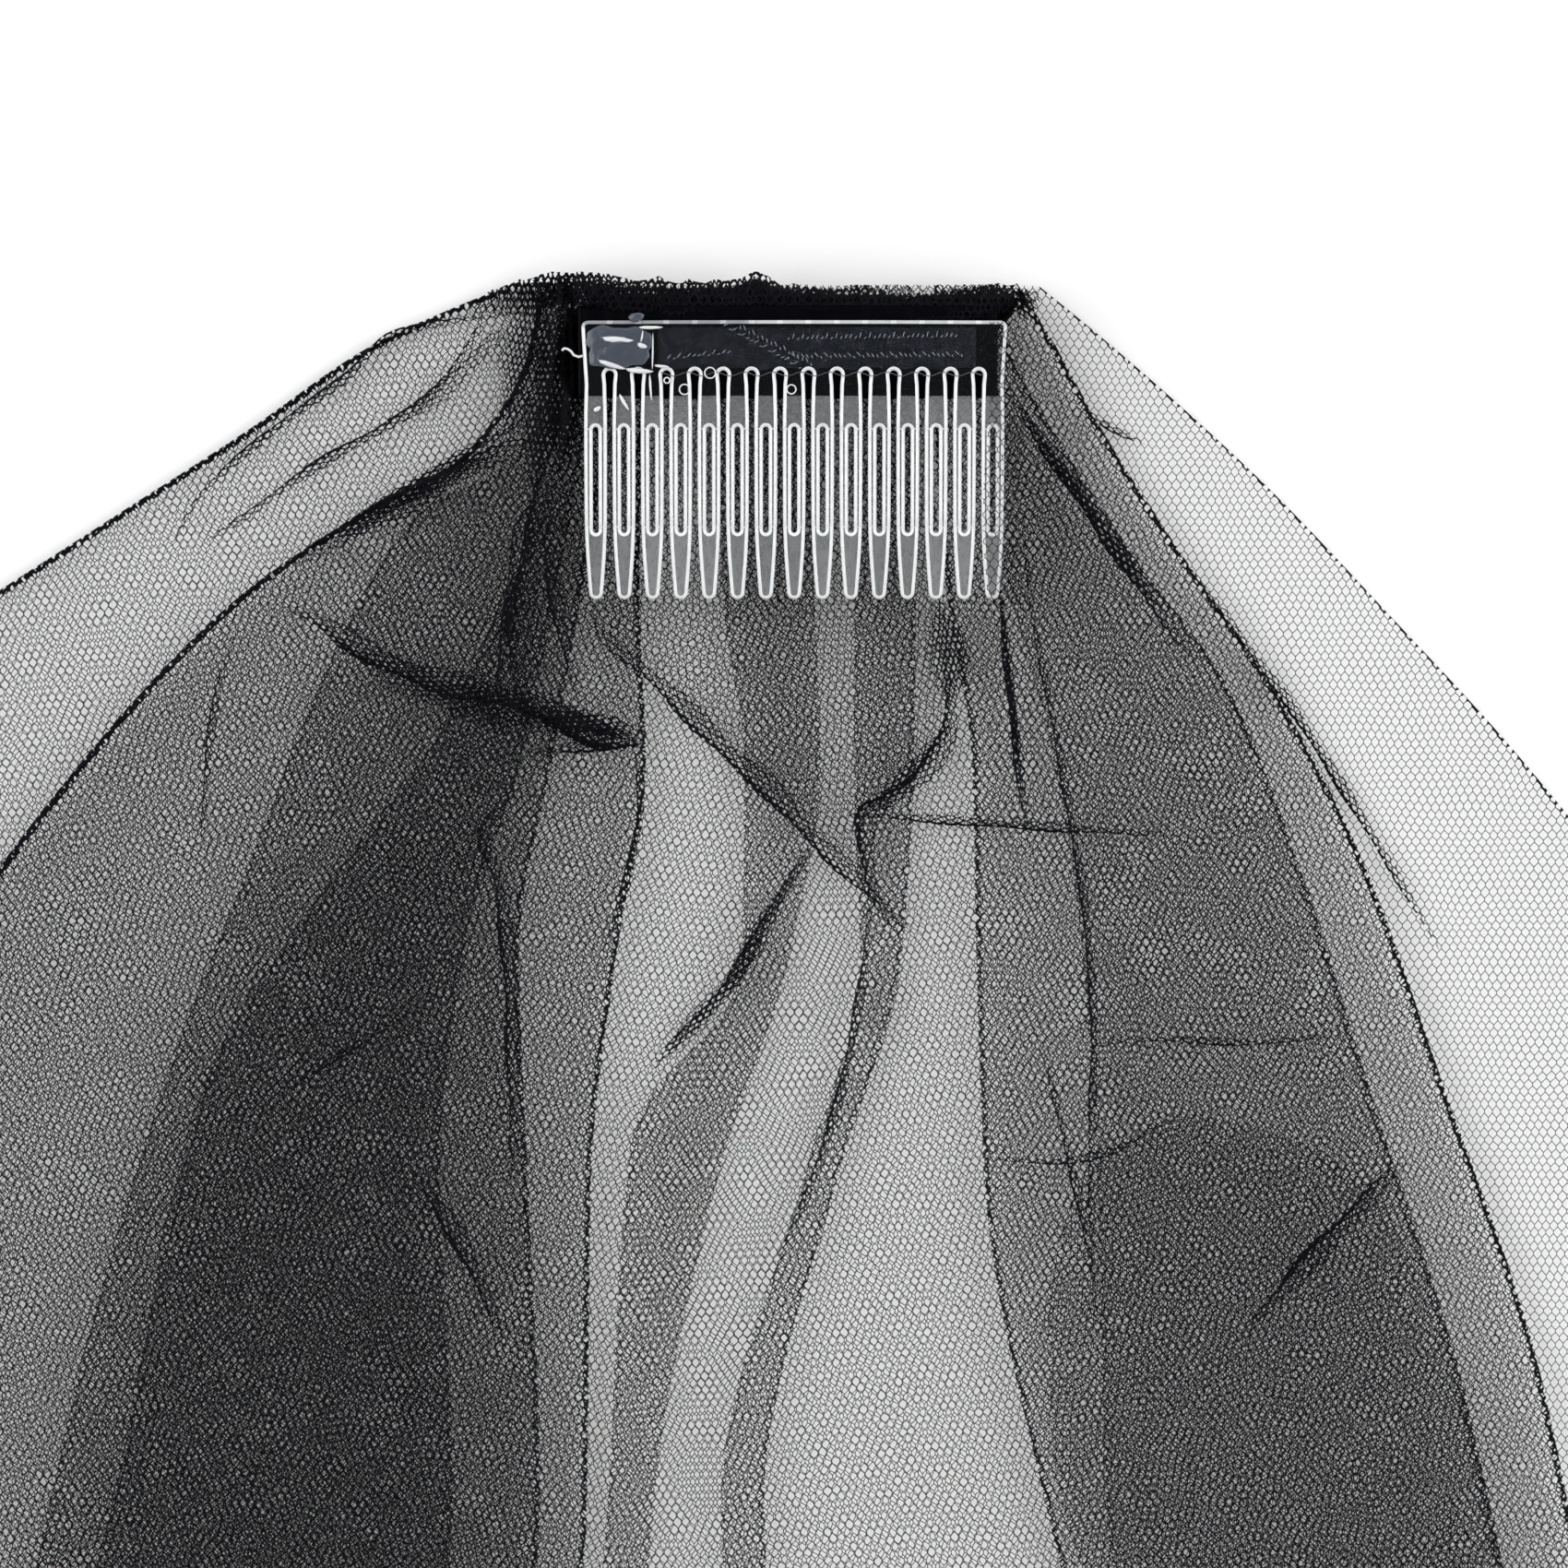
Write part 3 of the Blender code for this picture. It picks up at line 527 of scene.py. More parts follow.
# Across a crease: place, rise and press. One side is a hard bent edge, and the net falls away from it.
CREASE_PROFILE = (
    (-0.50, 0.0, 0.5), (-0.42, 0.5, 1.0), (-0.32, 0.8, 0.9),
    (-0.20, 1.0, 0.25), (0.15, 0.6, 0.15), (0.50, 0.0, 0.3),
)

# Beside the comb's left end the gathers run out from under it in soft, nearly black bunches, and so does
# the net in the middle of the strongest folds. The gathers named shadow are painted shade: soft bands of
# bunched net laid where the folds cast shade.
GATHERS = {
    # gather: width, bunching, then places in millimetres across and along the veil
    "left_outer": (9.0, 0.30, ((-46.0, 6.0), (-47.0, 0.0), (-48.5, -9.0), (-50.5, -20.0))),
    "left_middle": (7.0, 0.55, ((-42.5, 7.0), (-43.0, 0.0), (-43.5, -9.0), (-45.0, -21.0), (-46.5, -30.0))),
    "left_near": (5.0, 0.70, ((-40.0, 5.5), (-40.2, -2.0), (-40.4, -10.0), (-40.8, -19.0), (-41.5, -27.0))),
    "right_corner": (4.5, 0.45, ((39.0, 6.0), (40.5, 4.0), (42.5, 1.0))),
    "right_shadow": (2.0, 0.62, ((40.0, -14.5), (43.6, -20.3), (47.9, -26.6), (53.4, -34.5), (58.8, -42.4),
                                 (64.0, -50.0))),
    "left_shadow": (2.6, 0.46, ((-52.0, -22.6), (-58.7, -25.6), (-67.7, -30.4), (-74.5, -34.4),
                                (-81.3, -38.2))),
    "left_arch": (2.0, 0.42, ((-47.5, -17.0), (-55.0, -21.0), (-62.5, -25.0), (-72.0, -31.0),
                              (-81.0, -36.6))),
    "sweep_shadow": (7.0, 0.28, ((-77.0, -58.5), (-66.0, -64.5), (-55.0, -67.6), (-43.0, -70.6),
                                 (-32.0, -73.4))),
    "knot_shadow": (5.0, 0.40, ((-45.0, -68.4), (-39.0, -70.4), (-33.0, -72.2), (-28.5, -73.4))),
    "rib_shadow": (1.3, 0.75, ((36.6, -48.5), (37.3, -55.0), (38.3, -65.0), (39.4, -74.0), (40.4, -83.0))),
    "band_shadow": (3.6, 0.34, ((1.8, -94.5), (-5.0, -105.8), (-11.2, -116.7), (-17.4, -123.7),
                                (-25.0, -132.0))),
    "bend_shadow": (3.4, 0.32, ((25.0, -73.0), (21.0, -79.0), (16.0, -84.0), (12.6, -87.0))),
    "under_last_tips": (7.0, 0.30, ((25.0, -49.0), (26.5, -54.0), (27.6, -60.0), (27.9, -67.0))),
}
GATHER_PROFILE = (
    (-0.50, 0.0, 0.0), (-0.30, 0.5, 0.55), (-0.10, 1.0, 1.0),
    (0.15, 1.0, 1.0), (0.35, 0.5, 0.6), (0.50, 0.0, 0.0),
)

bpy.context.view_layer.update()
veil_surface = BVHTree.FromObject(veil, bpy.context.evaluated_depsgraph_get())


def cloth_height(x, y):
    """Height of the veil's top layer at a place, or of the floor beside it."""
    hit = veil_surface.ray_cast(Vector((x, y, 0.1)), Vector((0.0, 0.0, -1.0)))
    return hit[0].z if hit[0] else 0.0


bunched_folds = [("crease_" + name, CREASE_PROFILE, *crease) for name, crease in CREASES.items()]
bunched_folds += [("gather_" + name, GATHER_PROFILE, *gather) for name, gather in GATHERS.items()]
for order, (name, profile, width, bunching, places) in enumerate(bunched_folds):
    places = np.array(places) / 1000
    run = np.concatenate([[0.0], np.cumsum(np.linalg.norm(np.diff(places, axis=0), axis=1))])
    at = np.linspace(0.0, run[-1], max(CREASE_FEWEST_ROWS, int(run[-1] / CREASE_ROW_STEP)))
    line = np.column_stack([smooth_curve(run, places[:, 0], at), smooth_curve(run, places[:, 1], at)])
    ahead = np.gradient(line, axis=0)
    ahead /= np.linalg.norm(ahead, axis=1, keepdims=True)
    sideways = np.column_stack([-ahead[:, 1], ahead[:, 0]])
    taper = np.sin(math.pi * np.clip(at / run[-1], 0.0, 1.0)) ** CREASE_TAPER
    wave = 1 + CREASE_WAVE * np.sin(at * CREASE_WAVE_TURN + order)
    breadth = width / 1000 * (CREASE_END_WIDTH + (1 - CREASE_END_WIDTH) * taper) * wave
    grid = np.zeros((len(profile), len(at), 3))
    tightness = np.zeros(grid.shape[:2])
    for column, (offset, rise, press) in enumerate(profile):
        grid[column, :, :2] = line + sideways * (offset * breadth)[:, None]
        bed = np.array([cloth_height(*place) for place in grid[column, :, :2]])
        grid[column, :, 2] = bed + CREASE_LIFT + CREASE_RISE * rise * breadth
        tightness[column] = press * bunching * taper
    spread = np.array([offset for offset, _, _ in profile])[:, None] * breadth[None, :] * CREASE_FULLNESS
    across = np.stack([spread[:-1], spread[1:]], axis=2) + CREASE_MEASURE_STEP * order
    along = np.broadcast_to(at[None, :, None], across.shape)
    net_sheet(name, grid, tightness, across, along)

# Two more folds of the net lie loose over the rest. One comes out from under the comb's tips, its edges
# pulled together into a point; the other widens from a pinch, low on the right.
LOOSE_FOLDS = {
    # fold: press of its edges, turn of its grain, then millimetres down, and across at its two edges
    "veil_apron": (0.22, 0.45, (
        (-13.0, -31.0, 22.0), (-40.0, -36.0, 26.0), (-53.0, -35.6, 27.0), (-57.7, -31.4, 27.6),
        (-63.2, -24.4, 27.8), (-70.1, -17.4, 27.8), (-73.5, -14.0, 27.0), (-77.1, -10.4, 24.9),
        (-82.5, -4.2, 19.2), (-85.0, -1.8, 15.9), (-87.4, 0.4, 12.4), (-91.1, 3.6, 12.6),
        (-96.0, 8.6, 13.4), (-101.1, 14.2, 15.4))),
    "veil_corner": (0.05, -0.6, (
        (-140.0, 68.0, 71.0), (-146.0, 56.0, 92.0), (-154.0, 50.0, 103.0), (-163.0, 47.0, 108.0),
        (-176.0, 45.0, 113.0), (-200.0, 46.0, 121.0), (-240.0, 60.0, 128.0), (-290.0, 92.0, 122.0),
        (-310.0, 108.0, 112.0))),
}
LOOSE_FOLD_STEP = 0.0017
LOOSE_FOLD_SHARES = (0.0, 0.012, 0.08, 0.2, 0.35, 0.5, 0.65, 0.8, 0.92, 0.988, 1.0)
LOOSE_FOLD_LIFT = 0.0003


def flat_measure(grid, turn):
    """The net's own measure on a sheet that lies flat, with its grain turned by this angle."""
    x, y = (np.stack([grid[:-1, :, axis], grid[1:, :, axis]], axis=2) for axis in (0, 1))
    return x * math.cos(turn) + y * math.sin(turn), y * math.cos(turn) - x * math.sin(turn)


for name, (press, turn, edges) in LOOSE_FOLDS.items():
    table = np.array(edges) / 1000
    reach = table[0, 0] - table[-1, 0]
    down = np.linspace(table[0, 0], table[-1, 0], int(reach / LOOSE_FOLD_STEP))
    left_edge = smooth_curve(-table[:, 0], table[:, 1], -down)
    right_edge = smooth_curve(-table[:, 0], table[:, 2], -down)
    grid = np.zeros((len(LOOSE_FOLD_SHARES), len(down), 3))
    tightness = np.zeros(grid.shape[:2])
    for column, share in enumerate(LOOSE_FOLD_SHARES):
        x = left_edge + share * (right_edge - left_edge)
        bed = np.array([cloth_height(*place) for place in zip(x, down)])
        grid[column] = np.column_stack([x, down, bed + LOOSE_FOLD_LIFT])
        tightness[column] = press if share in (0.0, 1.0) else 0.0
    net_sheet(name, grid, tightness, *flat_measure(grid, turn))

# One loose fold of the net lies over the comb's last tooth, follows its curve and falls beside it, so the
# comb's right edge shows dimly through it.
COMB_HEIGHT = 0.0490
COMB_BAR_HEIGHT = 0.0088
COMB_ARCH = 0.0015
TOOTH_DROP = 0.0055
TOOTH_CURVE = 1.6
FLAP_INNER = 0.0338
FLAP_OUTER = 0.0404
FLAP_TOP = -0.0003
FLAP_FOOT = -0.0500
FLAP_ROWS = 46
FLAP_COLUMNS = 14
FLAP_GAP = 0.0005
FLAP_FALL = 0.0022
FLAP_SWAY = 0.0006
FLAP_SWAY_TURN = 7
comb_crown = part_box("comb")[1][2]


def arch_drop(x):
    """How far the arched comb, and what is glued under it, falls away beside the middle."""
    return COMB_ARCH * min(1.0, abs(x) / HALF_COMB) ** 2


def comb_face(x, y):
    """Height of the comb's upper face: flat along the bar, then the teeth curve down to their tips."""
    past_bar = max(0.0, -y - COMB_BAR_HEIGHT) / (COMB_HEIGHT - COMB_BAR_HEIGHT)
    return comb_crown - arch_drop(x) - TOOTH_DROP * past_bar ** TOOTH_CURVE


flap_grid = np.zeros((FLAP_COLUMNS, FLAP_ROWS, 3))
for column, over in enumerate(np.linspace(0.0, 1.0, FLAP_COLUMNS)):
    for row, down in enumerate(np.linspace(0.0, 1.0, FLAP_ROWS)):
        x = FLAP_INNER + over * (FLAP_OUTER - FLAP_INNER) + FLAP_SWAY * math.sin(FLAP_SWAY_TURN * down)
        y = FLAP_TOP + (FLAP_FOOT - FLAP_TOP) * down
        held = comb_face(x, y) + FLAP_GAP
        laid = cloth_height(x, y) + FLAP_GAP
        fall = min(1.0, max(0.0, (x - HALF_COMB - FLAP_GAP) / FLAP_FALL))
        flap_grid[column, row] = (x, y, max(laid, held + (laid - held) * fall))
flap = net_sheet("veil_flap", flap_grid, np.zeros(flap_grid.shape[:2]), *flat_measure(flap_grid, 0.0))

# Above the gathering thread the cut edge of the net stands up in a short ragged frill.
FRILL_EDGE = (
    # millimetres across, and how far the frill reaches above the comb's top edge
    (-58.0, 3.0), (-54.0, 6.2), (-48.0, 8.0), (-42.0, 9.2), (-36.0, 8.8), (-31.5, 8.0), (-27.5, 7.4),
    (-24.5, 7.9), (-20.0, 6.9), (-18.5, 7.5), (-12.0, 7.4), (-8.5, 7.9), (-7.0, 9.1), (-5.0, 8.0),
    (0.0, 6.4), (9.0, 6.0), (10.5, 6.5), (20.0, 5.2), (24.0, 5.3), (30.0, 6.2), (34.5, 6.9), (39.0, 6.5),
    (43.5, 5.6),
)
FRILL_DEPTH = 0.0055
FRILL_COLUMNS = 400
FRILL_ROWS = 8
# The frill's layers start one after the other on the left, so it thins out into the veil's shoulder
FRILL_STARTS = (-0.0580, -0.0530, -0.0490, -0.0455)
FRILL_ENDS = (0.0435, 0.0420, 0.0410, 0.0400)
FRILL_FADE = 0.008
FRILL_PRESS = 0.26
FRILL_EDGE_PRESS = 0.45
FRILL_END_PRESS = 0.3
# Each layer is shorter than the one under it, and shallow at its ends
FRILL_SHORTER = 0.0006
FRILL_END_DEPTH = 0.35
FRILL_FIRST_DEPTH = 1.15
FRILL_DEPTH_STEP = 0.12
FRILL_MARGIN = 0.0003
FRILL_LIFT = 0.0004
FRILL_LAYER = 0.0003
# Behind the comb the frill leans on the ruched roll, and bends down from there to its cut edge
ROLL_HALF_WIDTH = 0.0385
ROLL_LEVEL = 0.0146
FRILL_BEND = 0.0035
BESIDE_ROLL_LIFT = 0.0006
RUFFLE_HEIGHT = 0.0003
FINE_RUFFLE_TURN = 2100
WIDE_RUFFLE_TURN = 890
SWAY_TURN = 1300
RAG_SEED = 40
RAG_STEP = 5
RAG_DEPTH = 0.00025
FRILL_FULLNESS = 1.3
FRILL_MEASURE_STEP = 0.004
frill_edge = np.array(FRILL_EDGE) / 1000
for layer, (frill_start, frill_end) in enumerate(zip(FRILL_STARTS, FRILL_ENDS)):
    frill_across = np.linspace(frill_start, frill_end, FRILL_COLUMNS)
    grid = np.zeros((FRILL_COLUMNS, FRILL_ROWS, 3))
    rng = np.random.default_rng(RAG_SEED + layer)
    marks = np.arange(0, FRILL_COLUMNS + RAG_STEP, RAG_STEP)
    rags = np.interp(np.arange(FRILL_COLUMNS), marks, rng.normal(0.0, RAG_DEPTH, len(marks)))
    reach = smooth_curve(frill_edge[:, 0], frill_edge[:, 1], frill_across) - FRILL_SHORTER * layer + rags
    fade = np.clip(np.minimum(frill_across - frill_start, frill_end - frill_across) / FRILL_FADE, 0.0, 1.0)
    depth = FRILL_DEPTH * (FRILL_END_DEPTH + (1 - FRILL_END_DEPTH) * fade)
    depth *= FRILL_FIRST_DEPTH - FRILL_DEPTH_STEP * layer
    for row in range(FRILL_ROWS):
        up = row / (FRILL_ROWS - 1)
        y = reach - depth * (1 - up)
        bed = np.array([cloth_height(x, min(place, GATHER_LINE - FRILL_MARGIN))
                        for x, place in zip(frill_across, y)])
        on_roll = np.abs(frill_across) < ROLL_HALF_WIDTH
        body = np.where(on_roll, ROLL_LEVEL - FRILL_BEND * up ** 2, bed + BESIDE_ROLL_LIFT)
        ruffle = RUFFLE_HEIGHT * (np.sin(frill_across * FINE_RUFFLE_TURN + layer * 2.0 + 2.0 * up)
                                  + np.sin(frill_across * WIDE_RUFFLE_TURN + 4 * layer))
        lift = np.maximum(bed + FRILL_LIFT, body) + FRILL_LAYER * layer + ruffle * up
        sway = RUFFLE_HEIGHT * np.sin(frill_across * SWAY_TURN + 3 * layer + 3 * up)
        grid[:, row] = np.column_stack([frill_across + sway, y, lift])
    tight = np.repeat((FRILL_PRESS * fade)[:, None], FRILL_ROWS, axis=1)
    tight[:, 0] = 0.0
    tight[:, -1] = FRILL_EDGE_PRESS * (FRILL_END_PRESS + (1 - FRILL_END_PRESS) * fade)
    measure = frill_across * FRILL_FULLNESS + FRILL_MEASURE_STEP * layer
    across = np.repeat(np.stack([measure[:-1], measure[1:]], axis=1)[:, None, :], FRILL_ROWS, axis=1)
    along = np.stack([grid[:-1, :, 1], grid[1:, :, 1]], axis=2)
    net_sheet("frill_%d" % layer, grid, tight, across, along)


# The top of the cloth is drawn up on its thread into a tight ruched roll under the ribbon. So much net is
# bunched there that it reads as solid black, with only the odd strand catching the light.
HEADING_LEFT = -0.0400
HEADING_RIGHT = 0.0360
HEADING_CORNER = 0.0030
HEADING_FOOT = -0.0133
HEADING_COLUMNS = 330
HEADING_ROWS = 26
HEADING_THICKNESS = 0.0006
HEADING_EDGE = (
    # millimetres across, and how far the black roll reaches above the comb's top edge
    (-39.7, 2.2), (-34.0, 3.9), (-28.0, 4.9), (-22.0, 5.8), (-12.0, 6.2), (-7.0, 7.4), (0.0, 5.7), (9.0, 5.3),
    (20.0, 4.6), (30.0, 5.4), (39.7, 5.6),
)
HEADING_PLAY = 0.0005
HEADING_BULGE = 0.0016
HEADING_RAG = 0.0002
HEADING_MARGIN = 0.0002
HEADING_LOWEST = 0.0050
HEADING_LIFT = 0.0010
# Where the right end widens, and how far in its rims round off, as shares of its height and half its width
CORNER_START = 0.65
CORNER_RUN = 0.15
TOP_ROUND = 0.22
FOOT_ROUND = 0.08
END_ROUND = 0.03
PLEAT_DEPTH = 0.00028
PLEAT_TURN = 2900
FINE_PLEAT_DEPTH = 0.00016
FINE_PLEAT_TURN = 5300
PLEAT_ROOM = 0.0003
heading_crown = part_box("gathered_heading")[1][2] - HEADING_PLAY

bunched_net, bunched_shader = new_material("ruched_tulle", "#020203", 0.9, Specular_IOR_Level=0.02)
bunched_place = add_node(bunched_net, "ShaderNodeTexCoord")
bunched_scaled = add_node(bunched_net, "ShaderNodeMapping", {"Scale": (1300.0, 520.0, 300.0)},
                          {"Vector": bunched_place.outputs["Object"]})
bunched_strands = add_node(bunched_net, "ShaderNodeTexVoronoi", {"Scale": 1.0, "Randomness": 0.8},
                           {"Vector": bunched_scaled.outputs["Vector"]}, feature="DISTANCE_TO_EDGE")
bunched_lines = add_node(bunched_net, "ShaderNodeMapRange",
                         {"From Min": 0.02, "From Max": 0.14, "To Min": 1.0, "To Max": 0.0},
                         {"Value": bunched_strands.outputs["Distance"]})
bunched_tint = add_node(bunched_net, "ShaderNodeMix", {"A": linear("#000001"), "B": linear("#060608")},
                        {"Factor": bunched_lines.outputs["Result"]}, data_type="RGBA")
bunched_bump = add_node(bunched_net, "ShaderNodeBump", {"Strength": 0.5, "Distance": 0.0002},
                        {"Height": bunched_lines.outputs["Result"]})
bunched_net.node_tree.links.new(bunched_tint.outputs["Result"], bunched_shader.inputs["Base Color"])
bunched_net.node_tree.links.new(bunched_bump.outputs["Normal"], bunched_shader.inputs["Normal"])

heading_edge = np.array(HEADING_EDGE) / 1000
bm = bmesh.new()
bmesh.ops.create_grid(bm, x_segments=HEADING_COLUMNS, y_segments=HEADING_ROWS, size=1.0)
for vert in bm.verts:
    up = (vert.co.y + 1) / 2
    if vert.co.x < 0:
        bulge = HEADING_BULGE * math.sin(math.pi * up) + HEADING_RAG * math.sin(27 * up)
        x = -vert.co.x * (HEADING_LEFT - bulge)
    else:
        widened = min(1.0, max(0.0, (up - CORNER_START) / CORNER_RUN))
        x = vert.co.x * (HEADING_RIGHT + HEADING_CORNER * widened)
    top_edge = float(np.interp(x, heading_edge[:, 0], heading_edge[:, 1])) + HEADING_RAG * math.sin(x * 3100)
    y = HEADING_FOOT + (top_edge - HEADING_FOOT) * up
    rim = min(1.0, (1 - up) / TOP_ROUND, up / FOOT_ROUND, (1 - abs(vert.co.x)) / END_ROUND)
    round_off = math.sqrt(max(0.0, 1 - (1 - max(0.0, rim)) ** 2))
    pleat = PLEAT_DEPTH * math.sin(x * PLEAT_TURN + 2.2 * math.sin(x * 310) + 1.1 * up)
    pleat += FINE_PLEAT_DEPTH * math.sin(x * FINE_PLEAT_TURN + 3 * up)
    bed = max(cloth_height(x, min(y, GATHER_LINE - HEADING_MARGIN)), HEADING_LOWEST) + HEADING_LIFT
    crown = heading_crown - arch_drop(x) + pleat - PLEAT_ROOM
    vert.co = (x, y, bed + max(0.0, crown - bed) * round_off)
bmesh.ops.solidify(bm, geom=bm.faces[:], thickness=HEADING_THICKNESS)
heading = new_piece("ruched_heading", bm, bunched_net, replaces="gathered_heading")


# A band of single-faced satin ribbon covers the gathers and takes the glue. Its floats run lengthwise, so
# it shines in a streak, and each long edge has a firmer woven selvedge.
RIBBON_OVERHANG = 0.0006
RIBBON_LEFT = -HALF_COMB - RIBBON_OVERHANG
RIBBON_RIGHT = 0.0358
RIBBON_FOOT = -0.0133
RIBBON_TOP = 0.0027
RIBBON_WALL = 0.0004
SELVEDGE = 0.0006
SELVEDGE_RISE = 0.0001
RIBBON_PLAY = 0.0005
RIBBON_COLUMNS = 150
RIBBON_ROWS = 20
RIBBON_WAVES = (
    # height, and radians for each metre along and across the ribbon
    (0.00007, 800, 60), (0.00004, 1700, -90),
)
ribbon_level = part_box("ribbon_band")[1][2] - RIBBON_PLAY

satin, satin_shader = new_material("polyester_satin", "#020205", 0.45, Specular_IOR_Level=0.04)
satin_place = add_node(satin, "ShaderNodeTexCoord")
satin_scaled = add_node(satin, "ShaderNodeMapping", {"Scale": (160.0, 5200.0, 5200.0)},
                        {"Vector": satin_place.outputs["Object"]})
satin_threads = add_node(satin, "ShaderNodeTexNoise", {"Scale": 1.0, "Detail": 3.0},
                         {"Vector": satin_scaled.outputs["Vector"]})
satin_sheen = add_node(satin, "ShaderNodeMapRange",
                       {"From Min": 0.3, "From Max": 0.7, "To Min": 0.36, "To Max": 0.55},
                       {"Value": satin_threads.outputs["Fac"]})
satin_tint = add_node(satin, "ShaderNodeMix", {"A": linear("#010103"), "B": linear("#04050a")},
                      {"Factor": satin_threads.outputs["Fac"]}, data_type="RGBA")
satin_bump = add_node(satin, "ShaderNodeBump", {"Strength": 0.35, "Distance": 0.0001},
                      {"Height": satin_threads.outputs["Fac"]})
satin.node_tree.links.new(satin_sheen.outputs["Result"], satin_shader.inputs["Roughness"])
satin.node_tree.links.new(satin_tint.outputs["Result"], satin_shader.inputs["Base Color"])
satin.node_tree.links.new(satin_bump.outputs["Normal"], satin_shader.inputs["Normal"])

bm = bmesh.new()
bmesh.ops.create_grid(bm, x_segments=RIBBON_COLUMNS, y_segments=RIBBON_ROWS, size=1.0)
for vert in bm.verts:
    x = RIBBON_LEFT + (RIBBON_RIGHT - RIBBON_LEFT) * (vert.co.x + 1) / 2
    y = RIBBON_FOOT + (RIBBON_TOP - RIBBON_FOOT) * (vert.co.y + 1) / 2
    edge = min(y - RIBBON_FOOT, RIBBON_TOP - y)
    roll = SELVEDGE_RISE * max(0.0, 1 - edge / SELVEDGE)
    wave = sum(height * math.sin(x * along + y * across) for height, along, across in RIBBON_WAVES)
    vert.co = (x, y, ribbon_level - arch_drop(x) + roll + wave)
bmesh.ops.solidify(bm, geom=bm.faces[:], thickness=-RIBBON_WALL)
ribbon = new_piece("satin_ribbon", bm, satin, replaces="ribbon_band")


# The comb is moulded in clear polystyrene in one shot: a plain bar, fifteen flat teeth with an oval slot
# down each, and rounded edges that gather the light into bright rims; these rims are a painted highlight.
COMB_THICKNESS = 0.0016
COMB_CORNER_RADIUS = 0.0012
COMB_TEETH = 15
TOOTH_PITCH = COMB_WIDTH / COMB_TEETH
TOOTH_TIP_WIDTH = 0.0025
SLOT_BULB_RADIUS = 0.00078
TOOTH_SLOT_WIDTH = 0.0010
TOOTH_SLOT_START = 0.0187
TOOTH_SLOT_LENGTH = 0.0186
EDGE_ROUND = 0.00062
EDGE_STEPS = 4
# Half the gap between two teeth, as a share of the tooth pitch, down the way from the slot's bulb to the tip
TOOTH_SIDE = ((0.0, 0.128), (0.06, 0.120), (0.22, 0.095), (0.66, 0.105), (0.80, 0.140), (0.92, 0.200))
# Where the mould steps the tooth a little thinner, as distances below the comb's top edge
TOOTH_STEPS = (0.0190, 0.0362)
TOOTH_STEP_RUN = 0.00018
TOOTH_STEP_DROP = 0.00010
# Where the faces start to be rubbed, and to carry a painted glow, at the ribbon's foot
RUBBED_FROM = -RIBBON_FOOT
CORNER_STEPS = 6
ROUND_STEPS = 12
SLOT_STEPS = 8
SLOT_SIDE_POINTS = 10
TOOTH_SIDE_POINTS = 22
TOOTH_SIDE_START = 0.04
BULB_OPENING = 0.25
# The comb's materials, by their place in its mesh: clear, the edges' painted highlight, then worn and rubbed
# plastic whose fog is partly painted glow
CLEAR, PAINTED_HIGHLIGHT, WORN_AND_GLOW, RUBBED_AND_GLOW = range(4)

# Moulded clear polystyrene: glossy and almost unseen over black, with fine scuffs and a slow ripple from
# the mould.
clear_plastic, plastic_shader = new_material("clear_polystyrene", "#f3f7fb", 0.06, IOR=1.55,
                                             Transmission_Weight=0.997)
plastic_place = add_node(clear_plastic, "ShaderNodeTexCoord")
plastic_scuffs = add_node(clear_plastic, "ShaderNodeTexNoise",
                          {"Scale": 900.0, "Detail": 4.0, "Roughness": 0.65},
                          {"Vector": plastic_place.outputs["Object"]})
plastic_haze = add_node(clear_plastic, "ShaderNodeMapRange",
                        {"From Min": 0.55, "From Max": 0.78, "To Min": 0.03, "To Max": 0.30},
                        {"Value": plastic_scuffs.outputs["Fac"]})
plastic_waves = add_node(clear_plastic, "ShaderNodeTexNoise", {"Scale": 260.0, "Detail": 1.0},
                         {"Vector": plastic_place.outputs["Object"]})
plastic_ripple = add_node(clear_plastic, "ShaderNodeBump", {"Strength": 0.15, "Distance": 0.0003},
                          {"Height": plastic_waves.outputs["Fac"]})
clear_plastic.node_tree.links.new(plastic_haze.outputs["Result"], plastic_shader.inputs["Roughness"])
clear_plastic.node_tree.links.new(plastic_ripple.outputs["Normal"], plastic_shader.inputs["Normal"])

# The same plastic at its rounded edges, with a painted highlight: a near-white, mostly matt colour stands in
# for the light that runs inside the plate and comes out at the edge, a little unevenly.
painted_highlight_edge, edge_shader = new_material("polystyrene_painted_highlight_edge", "#ffffff", 0.18, IOR=1.55,
                                        Transmission_Weight=0.12)
edge_place = add_node(painted_highlight_edge, "ShaderNodeTexCoord")
edge_cloud = add_node(painted_highlight_edge, "ShaderNodeTexNoise", {"Scale": 700.0, "Detail": 2.0},
                      {"Vector": edge_place.outputs["Object"]})
edge_tint = add_node(painted_highlight_edge, "ShaderNodeMix", {"A": linear("#d9dde0"), "B": linear("#ffffff")},
                     {"Factor": edge_cloud.outputs["Fac"]}, data_type="RGBA")
edge_axes = add_node(painted_highlight_edge, "ShaderNodeSeparateXYZ", None, {0: edge_place.outputs["Object"]})
edge_top = add_node(painted_highlight_edge, "ShaderNodeMapRange", {"From Min": -0.0016, "From Max": -0.0009},
                    {"Value": edge_axes.outputs["Y"]})
